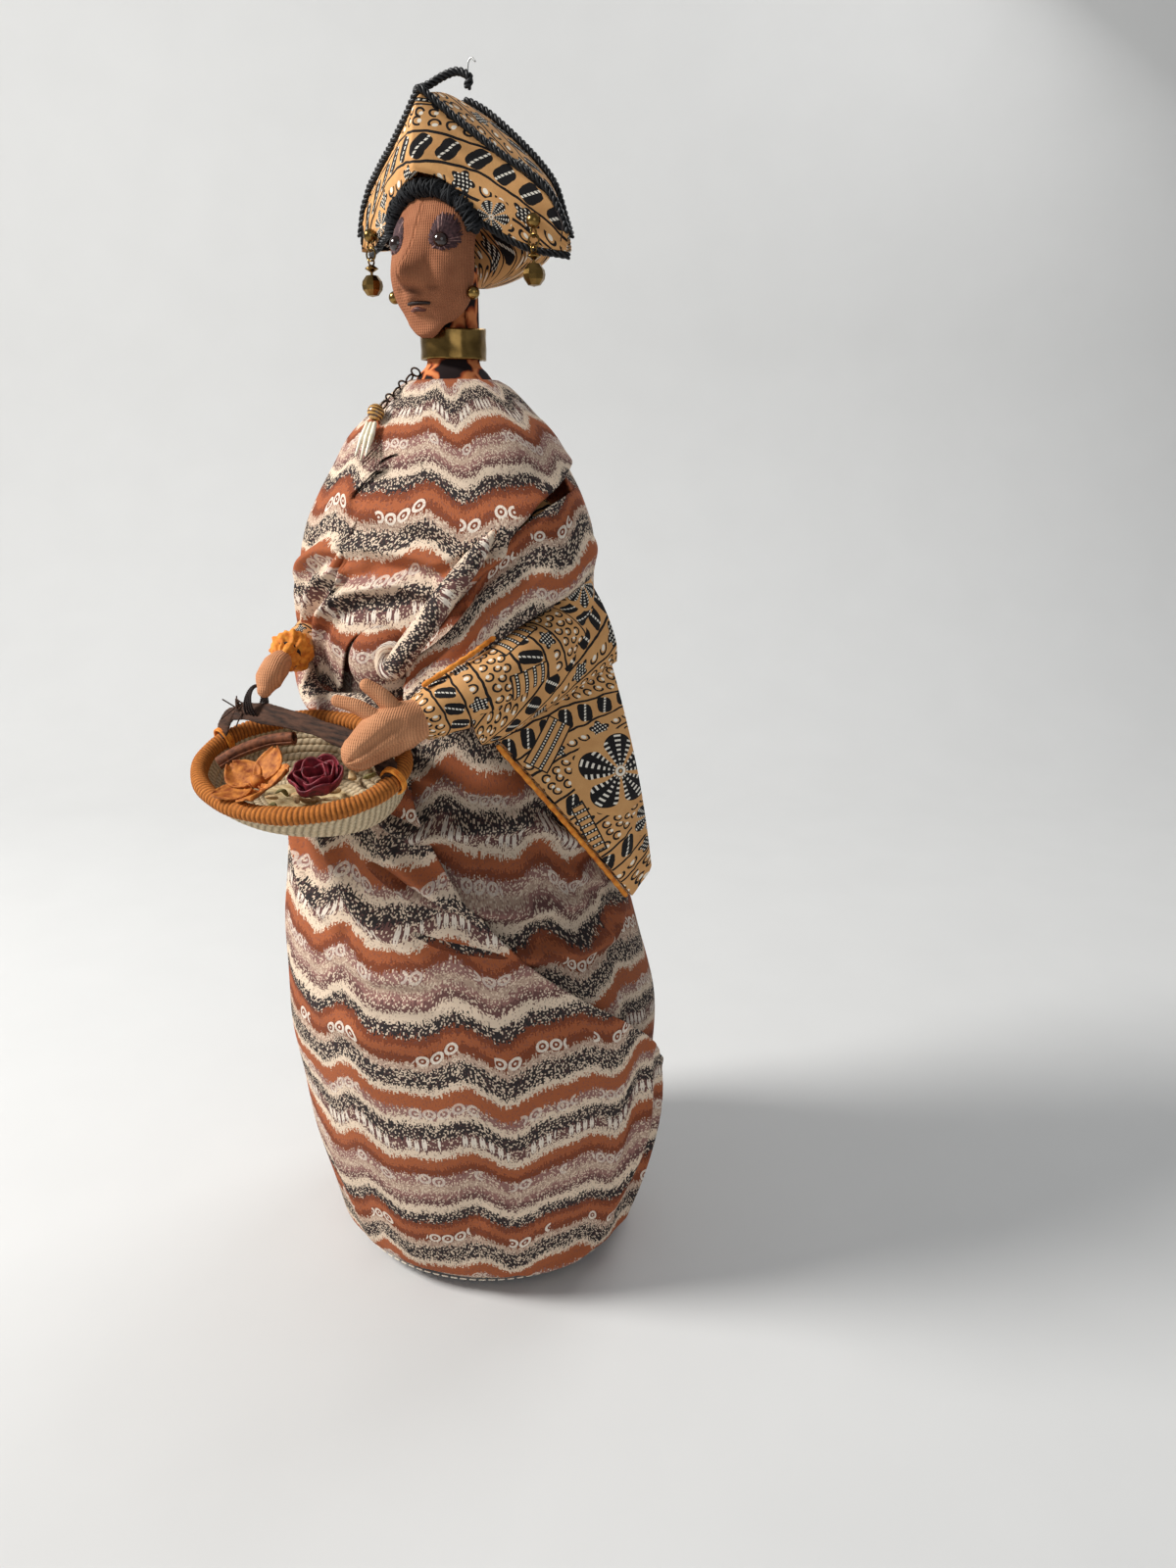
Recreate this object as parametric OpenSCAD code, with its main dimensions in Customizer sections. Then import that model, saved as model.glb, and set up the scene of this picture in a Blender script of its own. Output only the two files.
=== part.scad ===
// Free-standing cloth doll of a woman who carries a shallow basket of dried flowers.
// Millimetres. +Z is up, the doll faces -Y and its own left hand is on the +X side.
// The origin is the centre of the base's underside.

/* [Base] */
// Radius of the wooden base disc
base_r = 50; // [46:1:52]
// Thickness of the wooden base disc
base_t = 8; // [6:0.5:9]
// Thickness of the felt under the base
felt_t = 1.5; // [1:0.5:2]
// Radius of the wooden post
post_r = 4.75; // [4.5:0.05:5]
// Radius of the steel ballast weight
ballast_r = 30; // [20:1:36]
// Height of the steel ballast weight
ballast_h = 12; // [6:1:13]

/* [Cloth] */
// Thickness of the dress and shawl cloth with its backing
cloth_t = 1.2; // [1:0.1:1.3]
// Space left between two layers of cloth
layer_gap = 0.5; // [0.4:0.1:0.6]
// Height of the hem above the table
hem_z = 4; // [3:0.5:5]
// Height of the top of the dress at the waist
waist_z = 250; // [248:1:251]

/* [Head] */
// Turn of the head towards the doll's own left, in degrees
head_turn = 5; // [0:1:8]
// How far the nose stands out from the face
nose_out = 5.5; // [4:0.5:6]
// Radius of the eye beads
eye_r = 2.7; // [2.4:0.1:2.9]
// Radius of the ear studs
ear_stud_r = 2.3; // [2:0.1:2.5]

/* [Turban] */
// Half of the turban's width between its two side corners
turban_half_w = 47; // [45:0.5:48]
// Height of the turban's tip above the table
turban_top = 457; // [455:0.5:458]
// Radius of the braided edge cord
cord_r = 1.4; // [1.2:0.1:1.5]

/* [Jewellery] */
// Outer radius of the brass neck band
choker_r = 12.2; // [12:0.1:12.5]
// Height of the brass neck band
choker_h = 10.8; // [10:0.2:11]
// Radius of the large faceted bead of each turban dangle
drop_r = 4; // [3.6:0.1:4.2]
// Radius of the brass wire in the dangles' rings
ring_wire_r = 0.35; // [0.3:0.05:0.35]

/* [Basket] */
// Half of the basket's length, from side to side, to the middle of its rim
basket_rx = 45; // [43:1:46]
// Half of the basket's width, from front to back, to the middle of its rim
basket_ry = 28; // [27:1:29]
// Depth of the basket below the middle of its rim
basket_depth = 20; // [18:1:21]
// Radius of the wrapped roll on the basket's rim
rim_r = 3.1; // [2.8:0.1:3.2]
// Tilt of the basket towards the front, in degrees
basket_tilt = 22; // [20:1:23]

/* [Hidden] */

$fn = 48;
ring_n = 30;        // points round each ring of the large cloth shapes
post_y = -9;        // the post and the neck stand this far in front of the base's centre
base_top = felt_t + base_t;
post_top = 378;     // shoulder of the post, where the head's bush rests
spigot_r = 4;
spigot_top = 404;
inner_r = post_r + 0.5;
choker_z = 371;

batik = [0.80, 0.56, 0.27];
print_cloth = [0.64, 0.45, 0.38];
print_dark = [0.53, 0.35, 0.29];
skin = [0.62, 0.37, 0.25];
brass = [0.55, 0.45, 0.22];
orange_cloth = [0.88, 0.50, 0.12];
black_cord = [0.06, 0.06, 0.07];
vein_cloth = [0.24, 0.13, 0.11];
wadding = [0.90, 0.88, 0.83];

// Rows of the large shapes: height, centre x, centre y, half width, half depth
skirt_rows = [[hem_z, 0, 0, 59, 56], [12, 0, 0, 65.5, 63], [24, 0, 0, 69, 66.5], [55, 0, -1, 75.5, 72.5],
    [85, 0, -4, 78, 74], [114, 0, -7, 79, 75], [146, 0, -12, 75, 70], [172, 0, -15, 71.5, 64],
    [200, 0, -16, 69, 58], [220, 0, -15, 65, 50], [238, 0, -13, 60, 42], [waist_z, 0, -12, 56, 38]];
shawl_rows = [[240, -7, -12, 66, 44], [270, -7, -12, 66, 44], [290, -7, -12, 66, 43], [309, -5, -11, 63.5, 41],
    [322, -4, -10, 57.5, 38], [333, -3, -10, 50.5, 34], [344, -2, -10, 42.5, 31], [353, -1, -9.5, 31.5, 26],
    [361, 0, -9, 21, 20]];
torso_rows = [[238, 0, -11, 34, 24], [270, 0, -10, 32, 23], [300, 0, -10, 24, 20], [325, 0, -9, 20, 18],
    [342, 0, -9, 16, 15], [353, 0, -9, 11, 11]];
bodice_rows = [[296, 0, -10, 27, 23], [325, 0, -9, 24.5, 21.5], [342, 0, -9, 23, 20.5], [353, 0, -9, 20, 18.5],
    [360, 0, -9, 16.5, 16], [366, 0, -9, 12.4, 12.4], [370, 0, -9, 9.6, 9.6], [377.6, 0, -9, 9, 9]];
// Rows of the head, in its own frame: height, side, distance in front of the neck, half width, half depth
head_rows = [[378, 0, 15.3, 2, 1.4], [379.4, 0, 15.6, 4.4, 2.6], [382.3, 0, 15.4, 7.6, 2.8],
    [384.2, 0, 12.8, 9.8, 5.8], [387, 0, 11.4, 12.2, 7.8], [389.6, 0, 11.1, 14.2, 8.9], [393, 0, 11.1, 15.6, 10.2],
    [398, 0, 11.2, 16.2, 11.4], [402, 0, 11, 16.3, 11.8], [407, 0, 10.4, 16.2, 11.4], [411, 0, 9.4, 16, 11.4],
    [414, 0, 8.4, 15.8, 11.4], [418, 0, 6.8, 15.4, 11.2], [424, 0, 4, 14.3, 10.6], [430, 0, 2, 12.2, 9.4],
    [436, 0, 0.8, 9, 7.4], [440, 0, 0, 5.8, 5], [442.4, 0, -0.4, 2.4, 2]];

function at(rows, z, n) = lookup(z, [for (r = rows) [r[0], r[n]]]);
function mix(a, b, t) = a + (b - a) * t;
function unit(v) = v / norm(v);
function bell(x, w) = exp(-(x / w) * (x / w));
function backwards(list) = [for (i = [len(list) - 1 : -1 : 0]) list[i]];

// A point of a body of rows at angle t and height z, moved outwards by d
function on_rows(rows, t, z, d) = let (rx = at(rows, z, 3) + d, ry = at(rows, z, 4) + d)
    [at(rows, z, 1) + rx * cos(t), at(rows, z, 2) + ry * sin(t), z];
function row_ring(rows, z, d, n = ring_n) = [for (i = [0 : n - 1]) on_rows(rows, 360 * i / n, z, d)];
function heights(rows, low = -1, high = 1000) =
    [for (r = rows) if (r[0] > low && r[0] < high) r[0]];

// The two triangles of a four-sided face, cut along its first or its second diagonal
function cut_face(a, b, c, d, first) = first ? [[a, b, c], [a, c, d]] : [[a, b, d], [b, c, d]];
// The faces between rings of n points; the cut changes past ring_half or point_half, where a wall's inside begins
function side_faces(rings, n, closed, ring_half, point_half) =
    [for (i = [0 : rings - (closed ? 1 : 2)], j = [0 : n - 1]) let (k = (i + 1) % rings, m = (j + 1) % n)
        each cut_face(i * n + j, k * n + j, k * n + m, i * n + m, i < ring_half && j < point_half)];

// Rings joined into a solid tube wall: the last ring joins the first
module closed_rings(rings) {
    n = len(rings[0]);
    c = len(rings);
    polyhedron(points = [for (r = rings, p = r) p], faces = side_faces(c, n, true, c / 2, n), convexity = 6);
}

function middle(ring) = [for (k = [0 : 2]) [for (p = ring) 1] * [for (p = ring) p[k]] / len(ring)];

// Rings joined into a solid with a fan of faces at each end
module capped_rings(rings) {
    n = len(rings[0]);
    c = len(rings);
    points = concat([for (r = rings, p = r) p], [middle(rings[0]), middle(rings[c - 1])]);
    ends = concat([for (j = [0 : n - 1]) [c * n, j, (j + 1) % n]],
        [for (j = [0 : n - 1]) [c * n + 1, (c - 1) * n + (j + 1) % n, (c - 1) * n + j]]);
    polyhedron(points = points, faces = concat(side_faces(c, n, false, c, n), ends), convexity = 6);
}

// A thick curved sheet between two grids of points: rows go up, columns go anticlockwise seen from above
module slab(outer, inner) {
    n = len(outer[0]);
    c = len(outer);
    rings = [for (i = [0 : c - 1]) concat(outer[i], backwards(inner[i]))];
    w = 2 * n;
    top = (c - 1) * w;
    ends = concat([for (j = [0 : n - 2]) [j, j + 1, w - 2 - j, w - 1 - j]],
        [for (j = [0 : n - 2]) [top + w - 1 - j, top + w - 2 - j, top + j + 1, top + j]]);
    polyhedron(points = [for (r = rings, p = r) p], faces = concat(side_faces(c, w, false, c, n), ends),
        convexity = 6);
}

// A wall of thickness t whose outer side is d outside a body of rows, between two heights
module wall(rows, low, high, d, t) {
    zs = concat([low], heights(rows, low, high), [high]);
    closed_rings(concat([for (z = zs) row_ring(rows, z, d)],
        [for (z = backwards(zs)) row_ring(rows, z, d - t)]));
}

// A stuffed form with a straight hole for the post
module stuffed(rows, low, high, d) {
    zs = concat([low], heights(rows, low, high), [high]);
    hole = [for (z = [high, low]) [for (j = [0 : ring_n - 1])
        [inner_r * cos(360 * j / ring_n), post_y + inner_r * sin(360 * j / ring_n), z]]];
    closed_rings(concat([for (z = zs) row_ring(rows, z, d)], hole));
}

// Direction of a path at its point i
function path_dir(path, i) = unit(path[min(i + 1, len(path) - 1)] - path[max(i - 1, 0)]);
// A ring of n points round a path's point, with half widths r and r * flat
function path_ring(path, i, r, n, flat, side) = let (d = path_dir(path, i), s = unit(cross(side, d)),
    u = cross(d, s)) [for (j = [0 : n - 1]) path[i] + r * cos(360 * j / n) * s
    + r * flat * sin(360 * j / n) * u];
// A smooth curve through points chosen by hand, with k steps between two of them
function curve(p, k) = concat([for (i = [0 : len(p) - 2], s = [0 : k - 1]) let (t = s / k,
    a = p[max(i - 1, 0)], b = p[i], c = p[i + 1], e = p[min(i + 2, len(p) - 1)])
    0.5 * (2 * b + (c - a) * t + (2 * a - 5 * b + 4 * c - e) * t * t + (3 * b - a - 3 * c + e) * t * t * t)],
    [p[len(p) - 1]]);
// Radii chosen at the points, spread along the curve
function spread(r, k) = [for (i = [0 : (len(r) - 1) * k]) let (a = floor(i / k), b = min(a + 1, len(r) - 1))
    mix(r[a], r[b], i / k - a)];

// A solid limb along points chosen by hand, with a radius at each of them
module limb(points, radii, k = 3, n = 16, flat = 1, side = [0, 0, 1]) {
    path = curve(points, k);
    r = spread(radii, k);
    capped_rings([for (i = [0 : len(path) - 1]) path_ring(path, i, r[i], n, flat, side)]);
}

// A round wire or cord along a path, r thick
module cord(path, r, n = 8, side = [0, 0, 1]) {
    capped_rings([for (i = [0 : len(path) - 1]) path_ring(path, i, r, n, 1, side)]);
}

// A torus of wire, standing upright with its hole along Y
module ring_y(big, small) {
    rotate([90, 0, 0]) rotate_extrude($fn = 32) translate([big, 0]) circle(r = small, $fn = 16);
}

/* Base and core */

module base_felt() {
    color([0.10, 0.10, 0.11]) cylinder(r = base_r - 2, h = felt_t, $fn = 96);
}

module base_disc() {
    color([0.12, 0.10, 0.09]) difference() {
        translate([0, 0, felt_t]) cylinder(r = base_r, h = base_t, $fn = 96);
        translate([0, post_y, 0]) cylinder(r = 2.15, h = base_top + 1);
        translate([0, post_y, felt_t - 0.01]) cylinder(r1 = 4.5, r2 = 2.15, h = 2.6);
    }
}

module post_screw() {
    color([0.70, 0.70, 0.68]) translate([0, post_y, felt_t]) {
        cylinder(r1 = 4, r2 = 1.9, h = 2.4);
        cylinder(r = 1.9, h = 36);
    }
}

module center_post() {
    color([0.78, 0.63, 0.43]) translate([0, post_y, 0]) difference() {
        union() {
            translate([0, 0, base_top]) cylinder(r = post_r, h = post_top - base_top);
            cylinder(r = spigot_r, h = spigot_top);
        }
        translate([0, 0, -1]) cylinder(r = 10, h = base_top + 1);
        translate([0, 0, base_top - 1]) cylinder(r = 1.6, h = 32);
    }
}

module ballast_weight() {
    color([0.35, 0.36, 0.38]) translate([0, post_y, base_top]) difference() {
        cylinder(r = ballast_r, h = ballast_h, $fn = 64);
        translate([0, 0, -1]) cylinder(r = inner_r, h = ballast_h + 2);
    }
}

module skirt_form() {
    color(wadding) stuffed(skirt_rows, base_top + ballast_h + 1, 236, -3.2);
}

module torso_form() {
    color(wadding) stuffed(torso_rows, 238, 353, 0);
}

module bodice() {
    color(vein_cloth) wall(bodice_rows, 296, 377.6, 0, 1.6);
}

/* Dress */

module dress_skirt() {
    color(print_cloth) wall(skirt_rows, hem_z, waist_z, 0, cloth_t);
}

module hem_band() {
    color(print_dark) wall(skirt_rows, hem_z + 1.5, 18, -cloth_t - layer_gap, 1);
}

// The second layer goes round the back and the right side, and ends at a diagonal edge at the left front
overwrap_low = 14;
overwrap_high = [[-80, 236], [-66, 206], [-34, 160], [0, 120], [28, 84], [42, 58]];
function overwrap_column(t, s, d) = on_rows(skirt_rows, t, mix(overwrap_low, lookup(t, overwrap_high), s), d);
module dress_overwrap() {
    ts = [for (t = [-228 : 10 : 42]) t];
    steps = [for (i = [0 : 12]) i / 12];
    inside = layer_gap + 1;
    color(print_dark) slab([for (s = steps) [for (t = ts) overwrap_column(t, s, inside + cloth_t)]],
        [for (s = steps) [for (t = ts) overwrap_column(t, s, inside)]]);
}

/* Shawl */

// Lower edge of the shawl: it lifts over each forearm and hangs down between them
function shawl_low(t) = 246 + 50 * bell(t + 20, 38) + 50 * bell(t - 340, 38) + 38 * bell(t + 135, 16)
    + 38 * bell(t - 225, 16);
module shawl_body() {
    ts = [for (i = [0 : ring_n - 1]) 360 * i / ring_n];
    steps = [0, 0.15, 0.3, 0.45, 0.6, 0.72, 0.83, 0.92, 1];
    outer = [for (s = steps) [for (t = ts) on_rows(shawl_rows, t, mix(shawl_low(t), 361, s), 0)]];
    inner = [for (s = steps) [for (t = ts) on_rows(shawl_rows, t, mix(shawl_low(t), 361, s), -cloth_t)]];
    color(print_cloth) closed_rings(concat(outer, backwards(inner)));
}

// The doubled part of the shawl over the left shoulder, which flares out over the forearm
fold_low = [[-96, 272], [-60, 281], [-30, 291], [0, 297], [36, 298]];
fold_high = [[-96, 296], [-60, 306], [-30, 317], [0, 323], [36, 324]];
module shawl_fold() {
    ts = [for (t = [-96 : 8.8 : 36]) t];
    steps = [0, 0.25, 0.5, 0.75, 1];
    outer = [for (s = steps) [for (t = ts)
        on_rows(shawl_rows, t, mix(lookup(t, fold_low), lookup(t, fold_high), s), 2.6 + 1.4 * (1 - s))]];
    inner = [for (s = steps) [for (t = ts)
        on_rows(shawl_rows, t, mix(lookup(t, fold_low), lookup(t, fold_high), s), layer_gap)]];
    color(print_dark) slab(outer, inner);
}

knot_at = [19, -61.5, 271];
module shawl_knot() {
    color([0.62, 0.42, 0.36]) translate(knot_at) rotate([-14, 0, 24]) rotate([90, 0, 0])
        rotate_extrude($fn = 40) translate([6.6, 0]) circle(r = 4.2, $fn = 24);
}

// The end of the shawl, tucked from the knot under the left hand and over the right forearm
module shawl_tail() {
    ts = [for (t = [-122 : 6 : -86]) t];
    outer = [for (z = [247, 254, 262]) [for (t = ts) on_rows(shawl_rows, t, z, 3)]];
    inner = [for (z = [247, 254, 262]) [for (t = ts) on_rows(shawl_rows, t, z, layer_gap)]];
    color(print_dark) slab(outer, inner);
}

/* Arms */

left_arm = [[31, -9, 321], [43, -8, 308], [50, -8, 293], [52, -14, 277], [49, -40, 264], [35.5, -67, 252]];
right_arm = [[-33, -9, 321], [-46, -9, 308], [-51, -12, 292], [-50, -24, 277], [-46, -46, 268], [-39, -63, 265]];

module left_upper_sleeve() {
    color(batik) limb([left_arm[0], [39, -8.5, 313], [46.5, -8, 302]], [7, 8.5, 9]);
}

module left_forearm_sleeve() {
    color(batik) limb([[48, -8, 299], left_arm[2], left_arm[3], left_arm[4], left_arm[5]],
        [9.2, 10, 12, 12.2, 9.5], k = 3, n = 20, side = [1, 0, 0.3]);
}

// The orange edge that shows along the top of the sleeve
module left_sleeve_piping() {
    points = [[35.5, -70, 262.8], [43.5, -55, 271.6], [47, -44, 277.4], [49, -34, 281]];
    color(orange_cloth) cord(curve(points, 3), 0.9, 8);
}

module left_hand() {
    color(skin) union() {
        limb([[34.6, -69.8, 251.2], [32, -78, 249.5], [30, -86, 247], [28.5, -95, 243]], [6.8, 8.6, 9, 6],
            n = 14, side = [1, 0, 0]);
        limb([[32, -80, 254], [28, -83, 260], [24, -86, 264]], [3.4, 3, 2.2], n = 10, side = [1, 0, 0]);
        limb([[30, -86, 252], [24, -90, 257], [17, -93, 259]], [3, 2.6, 2], n = 10);
    }
}

module right_upper_sleeve() {
    color(batik) limb([right_arm[0], [-42, -9, 313], [-48.5, -10, 302]], [7, 8, 8.5]);
}

module right_forearm_sleeve() {
    color(batik) limb([[-50, -11, 298], right_arm[2], right_arm[3], right_arm[4], [-42.6, -56, 266]],
        [8.5, 8.5, 8.5, 8, 6.5], k = 3, n = 16, side = [1, 0, 0.3]);
}

module right_cuff() {
    color(orange_cloth) limb([[-42, -57.5, 265.8], [-40, -62, 265.2], [-37.4, -67, 264.4]], [6.6, 8.2, 5.6],
        k = 4, n = 16);
}

module right_hand() {
    color(skin) limb([[-37, -68.2, 264.2], [-34, -75, 262], [-31.5, -81, 258.5], [-30, -84.5, 255.2]],
        [3.6, 5.2, 5, 2.6], n = 14, side = [1, 0, 0]);
}

// Dark cord wound round the hand's finger and the end of the basket's handle
module finger_binding() {
    color([0.12, 0.07, 0.05]) for (k = [0 : 2]) translate([-31.5 - 1.5 * k, -85.4, 254.4 + 0.2 * k])
        rotate([0, 80, 0]) rotate_extrude($fn = 24) translate([3.1, 0]) circle(r = 0.6, $fn = 12);
}

// Bent wire inside each arm, from the shoulder to the hand
module arm_wires() {
    color([0.72, 0.72, 0.70]) {
        cord(curve(concat([[14, -9, 318]], left_arm, [[31, -84, 248]]), 3), 1, 8, side = [1, 0, 0.3]);
        cord(curve(concat([[-14, -9, 318]], right_arm, [[-33, -78, 260.5]]), 3), 1, 8, side = [1, 0, 0.3]);
    }
}

/* Bell flap of the left sleeve: a stuffed triangle that hangs from the forearm */

flap_top_front = [51.5, -52, 243];
flap_top_back = [64.5, 0, 264];
flap_tip_front = [76, -1, 172];
flap_tip_back = [78.5, 9, 182];
module left_bell_flap() {
    steps = [0, 0.12, 0.3, 0.5, 0.7, 0.88, 1];
    // middle surface between the tip and the top, pushed outwards so that it follows the skirt
    function mid(u, v) = mix(mix(flap_tip_front, flap_tip_back, u), mix(flap_top_front, flap_top_back, u), v)
        + [6, -4, 0] * sin(180 * v) * (1 - 0.35 * u);
    function half(u, v) = 0.9 + 3.4 * pow(sin(180 * mix(0.04, 0.96, u)) * sin(180 * mix(0.08, 0.9, v)), 0.6);
    out = unit([0.93, -0.35, 0.05]);
    outer = [for (v = steps) [for (u = steps) mid(u, v) + out * half(u, v)]];
    inner = [for (v = steps) [for (u = steps) mid(u, v) - out * half(u, v)]];
    color(batik) slab(outer, inner);
}

module flap_piping() {
    function mid(v) = mix(flap_tip_front, flap_top_front, v) + [6, -4, 0] * sin(180 * v);
    color(orange_cloth) cord([for (v = [0.04 : 0.09 : 0.95]) mid(v) + [0.2, -1.9, -0.9]], 0.9, 8,
        side = [1, 0, 0]);
}

/* Basket */

basket_at = [-7, -91, 232.5];
function rim_point(t, out = 0, up = 0) = let (x = (basket_rx + out) * cos(t), y = (basket_ry + out) * sin(t))
    basket_at + [x, y * cos(basket_tilt) - up * sin(basket_tilt), y * sin(basket_tilt) + up * cos(basket_tilt)];
function bowl_ring(out, up) = [for (i = [0 : 27]) rim_point(360 * i / 28, out, up)];

module basket_rim() {
    ts = [for (i = [0 : 39]) 360 * i / 40];
    color([0.78, 0.42, 0.12]) closed_rings([for (t = ts) [for (j = [0 : 9])
        rim_point(-t, rim_r * cos(36 * j), rim_r * sin(36 * j))]]);
}

module basket_wall() {
    rows_out = [[-15, -17.5], [-9, -15], [-4, -10.5], [-1, -6], [0.6, -3.4]];
    color([0.86, 0.80, 0.68]) closed_rings(concat([for (r = rows_out) bowl_ring(r[0], r[1])],
        [for (r = backwards(rows_out)) bowl_ring(r[0] - 2.6, r[1] + 0.3)]));
}

module basket_base() {
    color([0.82, 0.75, 0.62]) capped_rings([bowl_ring(-19.5, -basket_depth), bowl_ring(-16, -18.8),
        bowl_ring(-18.4, -17.1)]);
}

handle_points = [rim_point(172, 0, rim_r + 0.4), [-47, -87.5, 244], [-36, -87, 247], [-10, -86.5, 246.6],
    [12, -86.5, 244], [26, -87.5, 241.5], [34, -89, 238], rim_point(4, 0, rim_r + 0.4)];
module basket_handle() {
    path = curve(handle_points, 3);
    color([0.25, 0.15, 0.11]) capped_rings([for (i = [0 : len(path) - 1])
        path_ring(path, i, 3.9, 12, 0.24, [0, 0.82, -0.57])]);
}

module handle_ties() {
    color([0.70, 0.38, 0.12]) for (t = [4, 172]) translate(rim_point(t, 0, 0.4))
        rotate([basket_tilt, 0, 0]) ring_y(rim_r + 1.3, 0.55);
}

// A dried flower: flat cupped petals round a small round middle, none of them touching
module flower(petals, length, width, lift, core) {
    sphere(r = core, $fn = 16);
    for (k = [0 : petals - 1]) rotate([0, -lift, 360 * k / petals]) limb([[core + 0.5, 0, 0],
        [length * 0.35, 0, -0.6], [length * 0.7, 0, -0.2], [length, 0, 1.4]],
        [width * 0.12, width * 0.42, width * 0.5, width * 0.2], k = 2, n = 12, flat = 0.2);
}

module pod_flower() {
    color([0.78, 0.45, 0.16]) translate([-10, -107, 227.5]) rotate([26, -8, 12]) flower(5, 14, 12, 24, 2.2);
}

// Three dried petal cups, one inside another, on one base
module red_flower() {
    cups = [[0, 0], [6.6, 0], [9.6, 6], [8.8, 6.4], [6, 1.2], [5.2, 1.2], [6.8, 7], [6, 7.2], [4.2, 1.2],
        [3, 1.2], [3.8, 6], [3, 6], [2, 1.2], [0, 1.2]];
    color([0.42, 0.08, 0.11]) translate([12, -99, 229.4]) rotate([20, 10, 0]) rotate_extrude($fn = 32)
        polygon(cups);
}

module cinnamon_stick() {
    color([0.36, 0.20, 0.13]) limb([[-36, -103, 231], [-31, -97.5, 235], [-23, -90, 238.6], [-14, -86, 240.2]],
        [2.4, 2.6, 2.5, 2.2], n = 12);
}

/* Jewellery at the neck */

// Linked rings of dark wire from the neck's right side to the bead
module necklace_wire() {
    color([0.13, 0.10, 0.09]) for (k = [0 : 5]) translate([-8.1 - 0.38 * k, -21 - 3.1 * k, 366.8 - 2.35 * k])
        rotate([0, 0, 90 * (k % 2) + 12]) rotate([36, 0, 0]) ring_y(1.75, 0.35);
}

module necklace_bead() {
    color([0.66, 0.45, 0.22]) translate([-10.4, -40.4, 352.4]) rotate([-30, 0, 0]) difference() {
        sphere(r = 3.1, $fn = 32);
        translate([0, 0, -5]) cylinder(r = 0.6, h = 10);
    }
}

pendant_pivot = [-10.8, -42.4, 349.4];
module bone_pendants() {
    color([0.90, 0.87, 0.78]) for (k = [-1, 0, 1]) {
        tip = [2.6 * k, -6.5, -13.5 + abs(k) * 1.5];
        limb([pendant_pivot + [1.9 * k, -0.3, -0.9], pendant_pivot + [2.4 * k, -3, -5.8],
            pendant_pivot + tip], [0.9, 1.15, 0.35], k = 3, n = 10);
    }
}

module choker() {
    color(brass) translate([0, post_y, choker_z]) difference() {
        cylinder(r = choker_r, h = choker_h, $fn = 64);
        translate([0, 0, -1]) cylinder(r = choker_r - 0.8, h = choker_h + 2, $fn = 64);
    }
}

/* Head, in a frame at the neck that faces -Y and is turned to the doll's left */

module in_head() {
    translate([0, post_y, 0]) rotate([0, 0, head_turn]) children();
}

// A point of the head at angle t and height z, moved outwards by d; -90 degrees is straight ahead
function face(t, z, d) = let (a = (at(head_rows, z, 3) + d) * cos(t), out = (at(head_rows, z, 4) + d) * sin(t),
    nose = t > 180 ? nose_out * bell(a, 5.4) * bell(z - 398, z < 398 ? 5.5 : 9) : 0)
    [a, -at(head_rows, z, 2) + out - nose, z];

module head_hub() {
    color([0.74, 0.60, 0.42]) in_head() translate([0, 0, post_top + 0.4]) difference() {
        cylinder(r = 5.6, h = 30);
        translate([0, 0, -1]) cylinder(r = spigot_r + 0.08, h = 27.6);
    }
}

module head_form() {
    zs = [for (r = head_rows, z = r[0] == 393 ? [393, 395.5] : [r[0]]) z];
    color(skin) in_head() difference() {
        capped_rings([for (z = zs) [for (i = [0 : 35]) face(10 * i, z, 0)]]);
        translate([0, 0, post_top]) cylinder(r = 5.9, h = 31);
    }
}

// The neck cloth that turns with the head, from the neck band up to the back of the jaw
module nape_cloth() {
    color(vein_cloth) in_head() difference() {
        translate([0, 1.2, post_top + 0.4]) cylinder(r = 9, h = 26);
        translate([0, 0, post_top - 1]) cylinder(r = 5.9, h = 31);
        translate([-20, -32, post_top - 1]) cube([40, 30, 31]);
    }
}

eye_z = 409.5;
eye_angle = 38;     // the eyes sit this far to each side of straight ahead
module eye_beads() {
    color([0.16, 0.08, 0.06]) in_head() for (s = [-1, 1])
        translate(face(270 + s * eye_angle, eye_z, -0.9)) sphere(r = eye_r, $fn = 24);
}

module eyelids() {
    zs = [for (k = [0 : 4]) eye_z + 3.4 + 1.5 * k];
    color([0.22, 0.13, 0.15]) in_head() for (s = [-1, 1]) slab(
        [for (z = zs) [for (t = [-15 : 5 : 15]) face(270 + s * (eye_angle + 2) + t, z, 0.9)]],
        [for (z = zs) [for (t = [-15 : 5 : 15]) face(270 + s * (eye_angle + 2) + t, z, 0.35)]]);
}

hair_r = 3.1;
function hair_path() = [for (t = [184 : 8 : 356]) let (f = sin(t))
    face(t, mix(412, 427.5, pow(-f, 0.8)), hair_r + 0.5)];
module hair_roll() {
    color([0.05, 0.05, 0.06]) in_head() cord(hair_path(), hair_r, 10);
}

module ear_studs() {
    color(brass) in_head() for (s = [-1, 1]) {
        translate([s * 17.5, -11, 392.8]) sphere(r = ear_stud_r, $fn = 24);
        translate([s * 10, -11, 392.8]) rotate([0, s * 90, 0]) cylinder(r = 0.4, h = 7);
    }
}

/* Turban, in the head's frame */

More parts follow.
